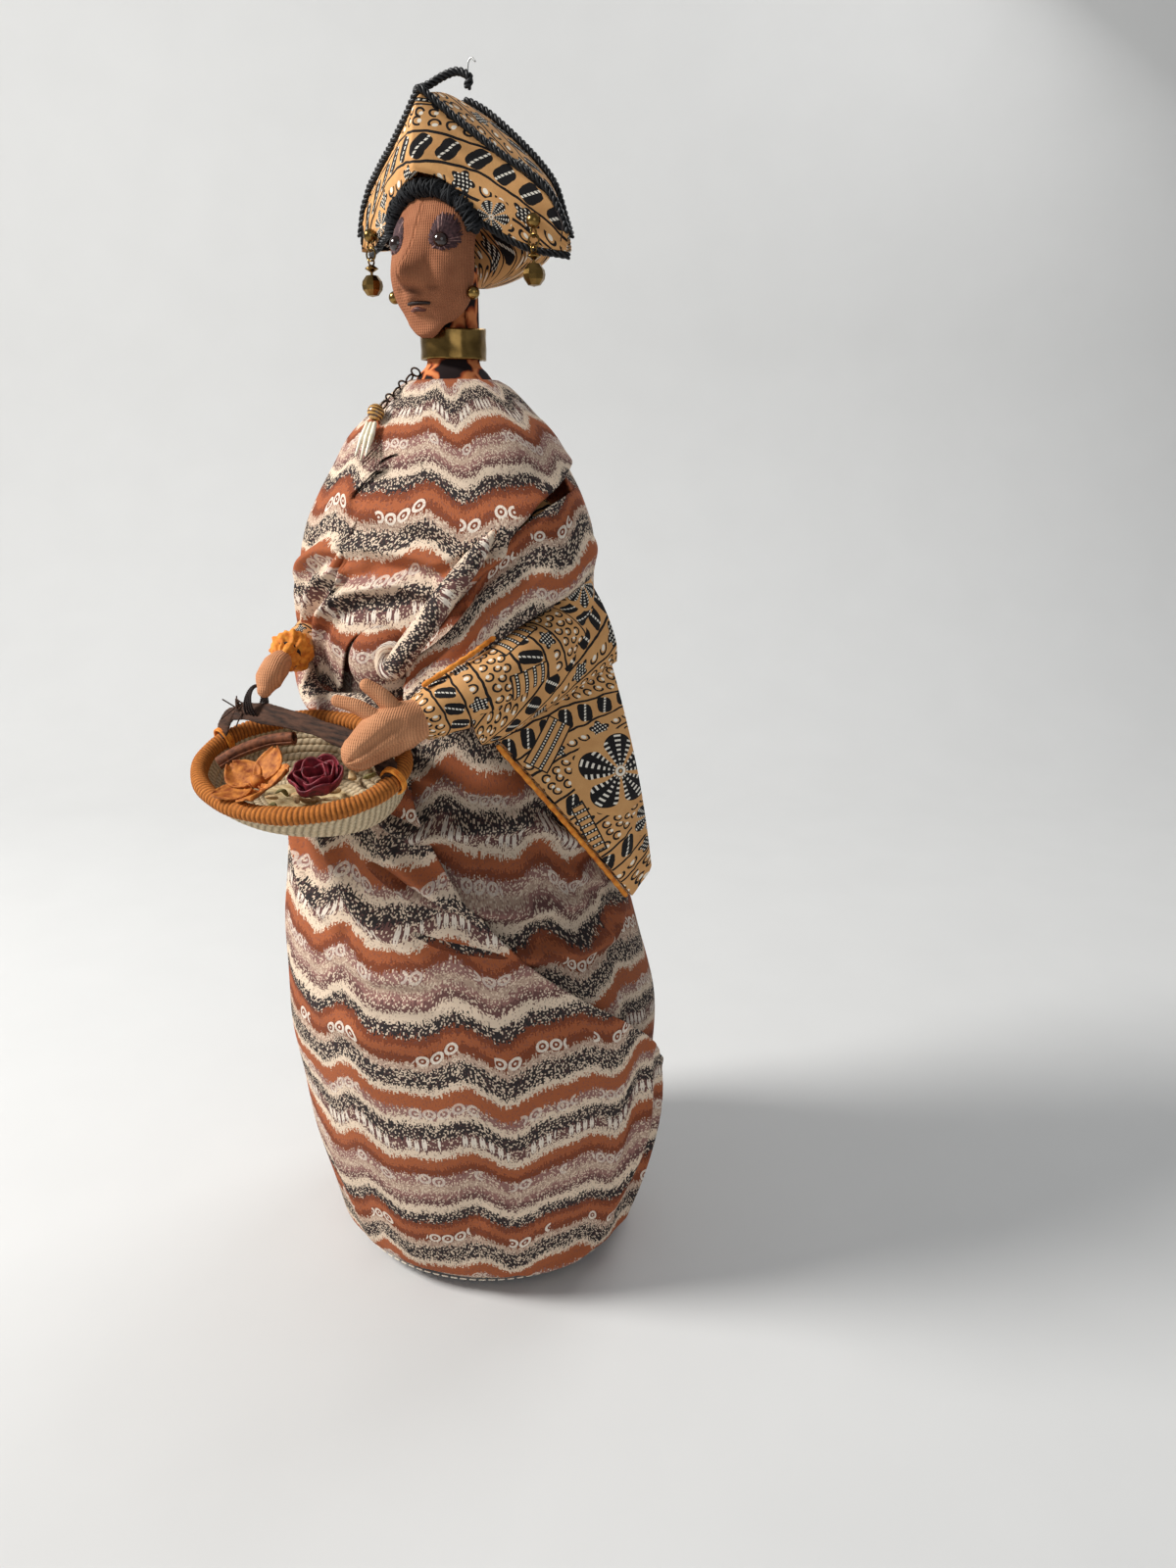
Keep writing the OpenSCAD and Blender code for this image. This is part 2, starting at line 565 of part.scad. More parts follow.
// The panels: u goes from -1 at the doll's right corner to 1 at its left corner, v from the bottom up
turban_front_edge = [[0, 0], [9, -8], [20, -17], [27, -22.5], [37, -29.5], [42.5, -36.5], [47, -48]];
turban_back_edge = [[0, 1.5], [8, -3], [20, -12.7], [30, -21.7], [37, -29.6], [42, -40], [47, -48.5]];
turban_low_edge = [[0, 432], [9, 429], [16, 420.5], [22, 415.4], [33.5, 408.8], [47, 406]];
function turban_low(u) = lookup(abs(u) * turban_half_w, turban_low_edge);
function front_high(u) = turban_top + lookup(abs(u) * turban_half_w, turban_front_edge);
function back_high(u) = turban_top + lookup(abs(u) * turban_half_w, turban_back_edge);
function front_out(u, v) = mix(19.5 - 25.5 * pow(abs(u), 1.1), 15 - 21 * abs(u), v)
    + 2.5 * sin(180 * v) * (1 - u * u);
function back_out(u, v) = -7 - mix(14.5, 6, v * (1 - abs(u))) * pow(1 - u * u, 0.7);
function front_point(u, v, in = 0) = [turban_half_w * u, in - front_out(u, v), mix(turban_low(u), front_high(u), v)];
function back_point(u, v, in = 0) = [turban_half_w * u, -in - back_out(u, v), mix(turban_low(u), back_high(u), v)];
turban_us = [for (i = [0 : 16]) -0.97 + 1.94 * i / 16];
turban_vs = [0, 0.25, 0.5, 0.75, 1];
panel_t = 2.4;

module turban_front() {
    color(batik) in_head() slab([for (v = turban_vs) [for (u = turban_us) front_point(u, v)]],
        [for (v = turban_vs) [for (u = turban_us) front_point(u, v, panel_t)]]);
}

module turban_back() {
    color(batik) in_head() slab([for (v = turban_vs) [for (u = turban_us) back_point(u, v, panel_t)]],
        [for (v = turban_vs) [for (u = turban_us) back_point(u, v)]]);
}

// The strip on top, between the front and back panels
function gusset_strip(us, lift) = [for (w = [0, 0.33, 0.67, 1]) [for (u = us) mix(front_point(u, 1, panel_t + 0.5),
    back_point(u, 1, panel_t + 0.5), w) + [0, 0, lift + 1.6 * sin(180 * w)]]];
module turban_gusset() {
    us = [for (i = [0 : 16]) mix(-0.92, 0.92, i / 16)];
    color(batik) in_head() slab(gusset_strip(us, -0.4), gusset_strip(us, -2.4));
}

module turban_bun() {
    rows = [[398.2, 0, 20, 5, 4], [399.5, 0, 20, 12, 7], [402, 0, 20, 20, 8.6], [406.7, 0, 20, 29, 9.6],
        [411.5, 0, 19.5, 30.5, 9.4], [416, 0, 19, 27, 8]];
    color(batik) in_head() capped_rings([for (r = rows)
        [for (i = [0 : 23]) [r[1] + r[3] * cos(15 * i), r[2] + r[4] * sin(15 * i), r[0]]]]);
}

module turban_cords() {
    lift = [0, 0, cord_r + 0.4];
    us = [for (i = [0 : 14]) -0.98 + 1.96 * i / 14];
    color(black_cord) in_head() {
        cord([for (u = us) front_point(u, 1, 0) + lift + [0, 0, 0.3]], cord_r);
        cord([for (u = us) back_point(u, 1, 0) + lift + [0, 0, 0.3]], cord_r);
        for (s = [-1, 1]) cord([for (u = us) if (u * s > 0.4) front_point(u, 0, 1.2) - lift], cord_r);
    }
}

module turban_curl() {
    color(black_cord) in_head() {
        cord(curve([[-2.2, -11, 459.2], [1.4, -10, 460.4], [5.2, -8.5, 462.4], [10, -6.5, 463.8], [14.3, -5.5, 461.8],
            [13.3, -5.5, 458.8]], 3), 1.8, 10);
        cord(curve([[13.6, -5.5, 463.2], [14, -5.5, 466.2], [15.4, -5.5, 467.4], [16.9, -5.5, 466.2]], 3), 0.3,
            8, side = [0, 1, 0]);
    }
}

/* Turban dangles: a stud with a loop, a ring, and a drop */

function to_row(a, b, z) = [a * cos(head_turn) + b * sin(head_turn), post_y + a * sin(head_turn)
    - b * cos(head_turn), z];
stud_r = 2.5;
stud_z = 415.6;
left_stud = to_row(37.8, 2.8, stud_z);
right_stud = to_row(-33.3, 4.4, stud_z);
loop_r = 1.5;
loop_z = -stud_r - loop_r + 0.2;      // middle of the stud's own loop, below the stud
link_r = 2.2;
link_z = loop_z - loop_r + 2 * ring_wire_r + 0.35 - link_r;
drop_loop_r = 1.4;
drop_loop_z = link_z - link_r + 2 * ring_wire_r + 0.35 - drop_loop_r;

module ring_x(big, small) {
    rotate([0, 0, 90]) ring_y(big, small);
}

module dangle_studs() {
    color(brass) for (p = [left_stud, right_stud]) translate(p) {
        sphere(r = stud_r, $fn = 32);
        rotate([-90, 0, 0]) cylinder(r = 0.4, h = stud_r + 1.5);
        translate([0, 0, loop_z]) ring_x(loop_r, ring_wire_r);
    }
}

module dangle_link(p) {
    color(brass) translate(p + [0, 0, link_z]) ring_y(link_r, ring_wire_r);
}

module dangle_drop(p) {
    color(brass) translate(p + [0, 0, drop_loop_z]) {
        ring_x(drop_loop_r, ring_wire_r);
        translate([0, 0, -drop_loop_r - 3.2]) cylinder(r = 0.5, h = 3.3);
        translate([0, 0, -drop_loop_r - 1.6]) cylinder(r1 = 2.5, r2 = 0.6, h = 1.2);
        translate([0, 0, -drop_loop_r - 2.8]) cylinder(r1 = 0.6, r2 = 2.5, h = 1.2);
        translate([0, 0, -drop_loop_r - 2.9 - drop_r]) sphere(r = drop_r, $fn = 32);
    }
}

module left_dangle_link() { dangle_link(left_stud); }
module left_dangle_drop() { dangle_drop(left_stud); }
module right_dangle_link() { dangle_link(right_stud); }
module right_dangle_drop() { dangle_drop(right_stud); }

base_felt();
base_disc();
post_screw();
center_post();
ballast_weight();
skirt_form();
torso_form();
bodice();
dress_skirt();
hem_band();
dress_overwrap();
shawl_body();
shawl_fold();
shawl_knot();
shawl_tail();
arm_wires();
left_upper_sleeve();
left_forearm_sleeve();
left_sleeve_piping();
left_hand();
left_bell_flap();
flap_piping();
right_upper_sleeve();
right_forearm_sleeve();
right_cuff();
right_hand();
finger_binding();
basket_base();
basket_wall();
basket_rim();
basket_handle();
handle_ties();
pod_flower();
red_flower();
cinnamon_stick();
necklace_wire();
necklace_bead();
bone_pendants();
choker();
head_hub();
head_form();
nape_cloth();
eye_beads();
eyelids();
hair_roll();
ear_studs();
turban_front();
turban_back();
turban_gusset();
turban_bun();
turban_cords();
turban_curl();
dangle_studs();
left_dangle_link();
left_dangle_drop();
right_dangle_link();
right_dangle_drop();
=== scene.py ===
# Looks of the cloth doll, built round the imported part. Lengths are millimetres until a mesh is made.
import math

import bpy
import numpy as np
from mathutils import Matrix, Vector

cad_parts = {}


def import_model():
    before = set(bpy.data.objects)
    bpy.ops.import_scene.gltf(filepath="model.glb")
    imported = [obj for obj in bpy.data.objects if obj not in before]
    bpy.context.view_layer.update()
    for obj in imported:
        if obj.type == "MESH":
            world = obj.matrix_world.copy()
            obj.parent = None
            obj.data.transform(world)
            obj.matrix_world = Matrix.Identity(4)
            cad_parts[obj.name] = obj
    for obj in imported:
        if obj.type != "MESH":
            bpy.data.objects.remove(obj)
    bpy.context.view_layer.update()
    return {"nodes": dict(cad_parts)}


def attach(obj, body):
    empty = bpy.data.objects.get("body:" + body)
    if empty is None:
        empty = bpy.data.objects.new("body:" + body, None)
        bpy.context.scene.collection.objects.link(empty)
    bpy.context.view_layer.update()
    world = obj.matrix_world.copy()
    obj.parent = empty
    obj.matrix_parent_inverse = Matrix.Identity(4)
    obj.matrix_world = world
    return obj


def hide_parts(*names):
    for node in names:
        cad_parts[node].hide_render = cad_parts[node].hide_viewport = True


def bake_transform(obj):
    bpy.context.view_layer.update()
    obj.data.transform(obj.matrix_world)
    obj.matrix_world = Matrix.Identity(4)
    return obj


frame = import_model()
nodes = frame["nodes"]
pi = math.pi


# ---------------------------------------------------------------- shapes

def grid(P, UV=None, wrap=False, flip=False):
    """Quads over an (n, m, 3) array of points, with flat coordinates in mm."""
    P = np.asarray(P, float)
    n, m = P.shape[:2]
    if UV is None:
        Q = np.concatenate([P, P[:, :1]], 1) if wrap else P
        du = np.linalg.norm(np.diff(Q, axis=1), axis=2)
        U = np.concatenate([np.zeros((n, 1)), np.cumsum(du, 1)], 1)
        dv = np.linalg.norm(np.diff(Q, axis=0), axis=2)
        V = np.concatenate([np.zeros((1, Q.shape[1])), np.cumsum(dv, 0)], 0)
        UV = np.stack([U, V], 2)
    i, j = [a.ravel() for a in np.meshgrid(np.arange(n - 1), np.arange(m if wrap else m - 1), indexing="ij")]
    k = (j + 1) % m
    F = np.stack([i * m + j, i * m + k, (i + 1) * m + k, (i + 1) * m + j], 1)
    M = UV.shape[1]
    uv = UV.reshape(-1, 2)[np.stack([i * M + j, i * M + j + 1, (i + 1) * M + j + 1, (i + 1) * M + j], 1)]
    if flip:
        F, uv = F[:, ::-1], uv[:, ::-1]
    return P.reshape(-1, 3), F, uv


def spline(points, n):
    """n points spread evenly along a smooth curve through the given ones, in any number of dimensions."""
    p = np.asarray(points, float)
    q = np.vstack([2 * p[0] - p[1], p, 2 * p[-1] - p[-2]])
    s = np.linspace(0, len(p) - 1, n)
    i = np.minimum(s.astype(int), len(p) - 2)
    t = (s - i)[:, None]
    a, b, c, d = q[i], q[i + 1], q[i + 2], q[i + 3]
    return 0.5 * (2 * b + (c - a) * t + (2 * a - 5 * b + 4 * c - d) * t ** 2 + (3 * b - a - 3 * c + d) * t ** 3)


def run(points):
    """How far along a path each of its points lies."""
    return np.concatenate([[0], np.cumsum(np.linalg.norm(np.diff(points, axis=0), axis=1))])


def around(n):
    """n angles round a ring."""
    return np.linspace(0, 2 * pi, n, endpoint=False)


def mix(a, b, f):
    return a + (b - a) * f


def border(P):
    """The points round the four sides of a grid."""
    return np.concatenate([P[0], P[1:, -1], P[-1, -2::-1], P[-2:0:-1, 0]])


def spin(axis, degrees):
    """A turn about x (0), y (1) or z (2)."""
    c, s = math.cos(math.radians(degrees)), math.sin(math.radians(degrees))
    return np.array(([[1, 0, 0], [0, c, -s], [0, s, c]], [[c, 0, s], [0, 1, 0], [-s, 0, c]],
                     [[c, -s, 0], [s, c, 0], [0, 0, 1]])[axis])


def patch(net, nu, nv):
    """A smooth (nv, nu, 3) surface through a net of points, row by row."""
    rows = np.stack([spline(r, nu) for r in net])
    return np.stack([spline(rows[:, k], nv) for k in range(nu)], 1)


def frames(path):
    t = np.gradient(path, axis=0)
    t /= np.linalg.norm(t, axis=1)[:, None] + 1e-9
    s = np.cross(t[0], [0, 0, 1.0])
    if np.linalg.norm(s) < 0.2:
        s = np.cross(t[0], [1.0, 0, 0])
    out = []
    for k in range(len(path)):
        s = s - t[k] * np.dot(s, t[k])
        s /= np.linalg.norm(s) + 1e-9
        out.append(s)
    s = np.array(out)
    return t, s, np.cross(t, s)


def tube(path, r, n=12, flat=1.0, cap=True, up=None):
    """A round or flattened limb along a path, r thick, with rounded ends."""
    path = np.asarray(path, float)
    r = np.broadcast_to(np.asarray(r, float), (len(path),)).copy()
    t, s, u = frames(path)
    if up is not None:
        u = np.broadcast_to(np.asarray(up, float), t.shape)
        s = np.cross(u, t)
        s /= np.linalg.norm(s, axis=1)[:, None]
        u = np.cross(t, s)
    if cap:
        c = np.array([0.98, 0.8, 0.45, 0.02])
        h = np.sqrt(1 - c ** 2)
        first = [(path[0] - t[0] * r[0] * b * min(1, flat + 0.2), r[0] * a) for a, b in zip(c[::-1], h[::-1])]
        last = [(path[-1] + t[-1] * r[-1] * b * min(1, flat + 0.2), r[-1] * a) for a, b in zip(c, h)]
        path = np.vstack([[p for p, _ in first], path, [p for p, _ in last]])
        r = np.concatenate([[a for _, a in first], r, [a for _, a in last]])
        s = np.vstack([[s[0]] * 4, s, [s[-1]] * 4])
        u = np.vstack([[u[0]] * 4, u, [u[-1]] * 4])
    a = around(n)
    P = path[:, None] + r[:, None, None] * (np.cos(a)[None, :, None] * s[:, None]
                                            + flat * np.sin(a)[None, :, None] * u[:, None])
    return grid(P, wrap=True)


def braid(path, r, pitch, n=8, strands=2, spread=0.55):
    """Strands twisted round each other along a path."""
    path = np.asarray(path, float)
    length = run(path)
    k = max(8, int(length[-1] / (pitch / 9)))
    q = np.linspace(0, length[-1], k)
    fine = np.stack([np.interp(q, length, path[:, c]) for c in range(3)], 1)
    t, s, u = frames(fine)
    thick = r * (0.62 if strands == 2 else 0.5)
    out = []
    for i in range(strands):
        a = 2 * pi * (q / pitch + i / strands)
        out.append(tube(fine + r * spread * (np.cos(a)[:, None] * s + np.sin(a)[:, None] * u), thick, n))
    return out


def ball(c, r, n=20, scale=(1, 1, 1)):
    v = np.linspace(-pi / 2 + 1e-3, pi / 2 - 1e-3, n)
    a = around(2 * n)
    P = np.stack([np.cos(v)[:, None] * np.cos(a), np.cos(v)[:, None] * np.sin(a),
                  np.sin(v)[:, None] * np.ones_like(a)], 2)
    return grid(np.asarray(c, float) + r * np.asarray(scale, float) * P, wrap=True)


def piece(name, parts, mat, body, stands_for=(), thick=0.0, smooth=True, out=0):
    """One mesh from several parts, riding on a body of the frame."""
    verts, faces, uvs, base = [], [], [], 0
    for P, F, uv in parts:
        verts.append(P)
        faces.append(F + base)
        uvs.append(uv)
        base += len(P)
    me = bpy.data.meshes.new(name)
    me.from_pydata((np.vstack(verts) * 0.001).tolist(), [], np.vstack(faces).tolist())
    layer = me.uv_layers.new(name="Flat")
    layer.data.foreach_set("uv", np.vstack([u.reshape(-1, 2) for u in uvs]).astype(np.float32).ravel())
    me.polygons.foreach_set("use_smooth", [smooth] * len(me.polygons))
    me.materials.append(mat)
    me.update()
    ob = bpy.data.objects.new(name, me)
    bpy.context.scene.collection.objects.link(ob)
    if thick:
        m = ob.modifiers.new("cloth", "SOLIDIFY")
        m.thickness = thick * 0.001
        m.offset = out
    if body:
        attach(ob, body)
    if stands_for:
        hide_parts(*([stands_for] if isinstance(stands_for, str) else stands_for))
    return ob


def wobble(x, y, scale, seed):
    """Smooth unevenness between about -1 and 1."""
    g = np.random.default_rng(seed)
    total = 0
    for k in range(5):
        a, f, p = g.uniform(0, 2 * pi), g.uniform(0.6, 1.7) / scale, g.uniform(0, 2 * pi)
        total = total + np.sin((x * math.cos(a) + y * math.sin(a)) * 2 * pi * f + p)
    return total / 3.2


def bell(x, w):
    return np.exp(-(x / w) ** 2)


# ---------------------------------------------------------------- materials

def srgb(r, g, b):
    return tuple((c / 255 / 12.92 if c / 255 <= 0.04045 else ((c / 255 + 0.055) / 1.055) ** 2.4)
                 for c in (r, g, b)) + (1.0,)


class X:
    """A value in a material, with arithmetic."""

    def __init__(self, g, out):
        self.g, self.out = g, out

    def m(self, op, *others):
        nd = self.g.nt.nodes.new("ShaderNodeMath")
        nd.operation = op
        for i, a in enumerate((self,) + others):
            if isinstance(a, X):
                self.g.nt.links.new(a.out, nd.inputs[i])
            else:
                nd.inputs[i].default_value = a
        return X(self.g, nd.outputs[0])

    def __add__(self, o): return self.m("ADD", o)
    def __radd__(self, o): return self.m("ADD", o)
    def __mul__(self, o): return self.m("MULTIPLY", o)
    def __rmul__(self, o): return self.m("MULTIPLY", o)
    def __sub__(self, o): return self.m("SUBTRACT", o)
    def __rsub__(self, o): return (self * -1) + o
    def __truediv__(self, o): return self.m("DIVIDE", o)
    def __lt__(self, o): return self.m("LESS_THAN", o)
    def __gt__(self, o): return self.m("GREATER_THAN", o)
    def abs(self): return self.m("ABSOLUTE")
    def fract(self): return self.m("FRACT")
    def floor(self): return self.m("FLOOR")
    def sin(self): return self.m("SINE")
    def cos(self): return self.m("COSINE")
    def sqrt(self): return self.m("SQRT")
    def max(self, o): return self.m("MAXIMUM", o)
    def min(self, o): return self.m("MINIMUM", o)
    def atan2(self, o): return self.m("ARCTAN2", o)
    def power(self, o): return self.m("POWER", o)
    def clamp(self): return self.max(0.0).min(1.0)
    def cell(self, size): return ((self / size).fract() - 0.5) * size


class G:
    """A procedural material."""

    def __init__(self, name, rough=0.85, metal=0.0, spec=0.3):
        self.mat = bpy.data.materials.new(name)
        self.mat.use_nodes = True
        self.nt = self.mat.node_tree
        self.p = self.nt.nodes["Principled BSDF"]
        self.p.inputs["Roughness"].default_value = rough
        self.p.inputs["Metallic"].default_value = metal
        self.p.inputs["Specular IOR Level"].default_value = spec

    def new(self, kind):
        return self.nt.nodes.new(kind)

    def link(self, a, b):
        self.nt.links.new(a.out if isinstance(a, X) else a, b)

    def flat(self):
        """The cloth's flat coordinates in mm."""
        uv = self.new("ShaderNodeUVMap")
        uv.uv_map = "Flat"
        sep = self.new("ShaderNodeSeparateXYZ")
        self.link(uv.outputs[0], sep.inputs[0])
        return X(self, sep.outputs[0]), X(self, sep.outputs[1])

    def place(self):
        """The piece's own coordinates in mm."""
        tc = self.new("ShaderNodeTexCoord")
        sep = self.new("ShaderNodeSeparateXYZ")
        self.link(tc.outputs["Object"], sep.inputs[0])
        return tuple(X(self, sep.outputs[i]) * 1000.0 for i in range(3))

    def vec(self, *v):
        c = self.new("ShaderNodeCombineXYZ")
        for i, a in enumerate(v):
            if isinstance(a, X):
                self.link(a, c.inputs[i])
            else:
                c.inputs[i].default_value = a
        return c.outputs[0]

    def noise(self, v, scale=1.0, detail=2.0):
        n = self.new("ShaderNodeTexNoise")
        self.link(v, n.inputs["Vector"])
        n.inputs["Scale"].default_value = scale
        n.inputs["Detail"].default_value = detail
        return X(self, n.outputs[0])

    def rand(self, *v):
        n = self.new("ShaderNodeTexWhiteNoise")
        self.link(self.vec(*v), n.inputs["Vector"])
        return X(self, n.outputs["Value"])

    def ramp(self, x, stops, kind="LINEAR"):
        r = self.new("ShaderNodeValToRGB")
        r.color_ramp.interpolation = kind
        e = r.color_ramp.elements
        while len(e) > 1:
            e.remove(e[-1])
        for k, (pos, col) in enumerate(stops):
            if k:
                e.new(pos)
            else:
                e[0].position = pos
        for k, (pos, col) in enumerate(stops):
            e[k].color = col if hasattr(col, "__len__") else (col, col, col, 1)
        self.link(x, r.inputs[0])
        return r.outputs[0]

    def mix(self, f, a, b, kind="MIX"):
        n = self.new("ShaderNodeMix")
        n.data_type, n.blend_type = "RGBA", kind
        for sock, v in ((n.inputs[0], f), (n.inputs[6], a), (n.inputs[7], b)):
            if isinstance(v, X) or isinstance(v, bpy.types.NodeSocket):
                self.link(v, sock)
            else:
                sock.default_value = v
        return n.outputs[2]

    def colour(self, c):
        self.link(c, self.p.inputs["Base Color"])

    def bump(self, h, depth):
        b = self.new("ShaderNodeBump")
        b.inputs["Distance"].default_value = depth * 0.001
        b.inputs["Strength"].default_value = 1.0
        self.link(h, b.inputs["Height"])
        self.link(b.outputs[0], self.p.inputs["Normal"])


RUST, RUST2 = srgb(166, 94, 60), srgb(128, 68, 44)
CREAM, CREAM2 = srgb(226, 204, 180), srgb(190, 162, 142)
MAUVE, MAUVE2 = srgb(150, 110, 102), srgb(108, 76, 72)
COAL, WHITE = srgb(50, 46, 46), srgb(240, 228, 212)


def wave_print(name, shade=1.0, shift=0.0):
    """Wavy bands of rust, cream, mauve and charcoal with stippled edges, rows of rings and of small ovals."""
    g = G(name, 0.92, spec=0.15)
    u, v = g.flat()
    big = g.noise(g.vec(u / 46, v / 60), 1, 1.5)
    wave = (u * (2 * pi / 41)).sin() * 3.0 + (u * (2 * pi / 23.3) + 0.8).sin() * 1.5 + (big - 0.5) * 9
    q = (v * -1) + wave + (shift + 9000.0)
    grain = g.rand((u / 0.44).floor(), (q / 0.8).floor(), 0.0)
    comb = g.rand((u / 0.44).floor(), 3.0, (q / 9.0).floor())
    jit = (grain - 0.5) * 2.0 + (comb - 0.5) * 1.8
    repeat = 90.0
    d = ((q + jit) / repeat).fract()
    clean = (q / repeat).fract() * repeat
    k = [(0, COAL), (3.4, MAUVE2), (8.6, CREAM), (12.6, RUST), (17.5, RUST2), (21, MAUVE), (26, CREAM2),
         (29.6, MAUVE), (33, MAUVE2), (36.5, CREAM), (40.6, COAL), (46, RUST2), (49, RUST), (53.4, RUST2),
         (57.5, CREAM2), (61, COAL), (69.4, CREAM), (72.6, RUST), (79.6, MAUVE), (83.6, CREAM), (86.8, COAL)]
    col = g.ramp(d, [(a / repeat, c) for a, c in k], "CONSTANT")
    # how much pale speckle lies on each band
    k = [(0, 0.22), (3.4, 0.18), (12.6, 0.0), (21, 0.22), (29.6, 0.2), (40.6, 0.2), (46, 0.0), (57.5, 0.2),
         (61, 0.28), (69.4, 0.1), (72.6, 0.0), (79.6, 0.2), (86.8, 0.22)]
    pale = X(g, g.ramp(d, [(a / repeat, c) for a, c in k], "CONSTANT"))
    speck = g.rand((u / 0.5).floor(), (q / 0.56).floor(), 5.0)
    col = g.mix((speck < pale) * 0.9, col, CREAM)
    dark = speck > 0.86
    col = g.mix(dark * 0.42, col, MAUVE2)
    # rows of rings
    x = u.cell(5.3)
    here = (u / 5.3).floor()
    group = (u * (2 * pi / 34) + (big * 7)).sin() > -0.45
    for at, white, seed in ((23.6, 0.62, 1.0), (55.4, 1.0, 2.0), (81.6, 0.6, 3.0)):
        y = clean - at + (g.rand(here, seed, 4.0) - 0.5) * 1.6
        r = (x * x + y * y).sqrt()
        ring = ((r - 1.95).abs() < 0.56).max(r < 0.55) * group * (g.rand(here, seed, 9.0) > 0.16)
        col = g.mix(ring * white * (speck * 0.35 + 0.65), col, WHITE)
    # upright ovals
    x, here = u.cell(3.0), (u / 3.0).floor()
    y = clean - 6.1 + (g.rand(here, 1.0, 12.0) - 0.5) * 1.8
    oval = (((x / 0.95) * (x / 0.95) + (y / 2.9) * (y / 2.9)) < 1.0) * (x.abs() > 0.2).max(y.abs() < 1.2)
    oval = oval * ((u * (2 * pi / 19) + big * 9).sin() > -0.55) * (g.rand(here, 4.0, 2.0) > 0.12)
    col = g.mix(oval * 0.88, col, WHITE)
    worn = g.noise(g.vec(u / 9, v / 9), 1, 3)
    col = g.mix((worn - 0.35).clamp() * 0.35, col, g.mix(0.5, col, MAUVE2))
    # shade below 1 multiplies the whole print darker: painted shade for cloth that lies in shadow
    if shade != 1.0:
        col = g.mix(1.0, col, (shade, shade, shade, 1), "MULTIPLY")
    g.colour(col)
    g.bump(g.noise(g.vec(u, v), 1.7, 2) + grain * 0.15, 0.22)
    return g.mat


OCHRE, OCHRE2, INK, DAB = srgb(224, 172, 112), srgb(196, 140, 86), srgb(24, 21, 22), srgb(246, 238, 222)


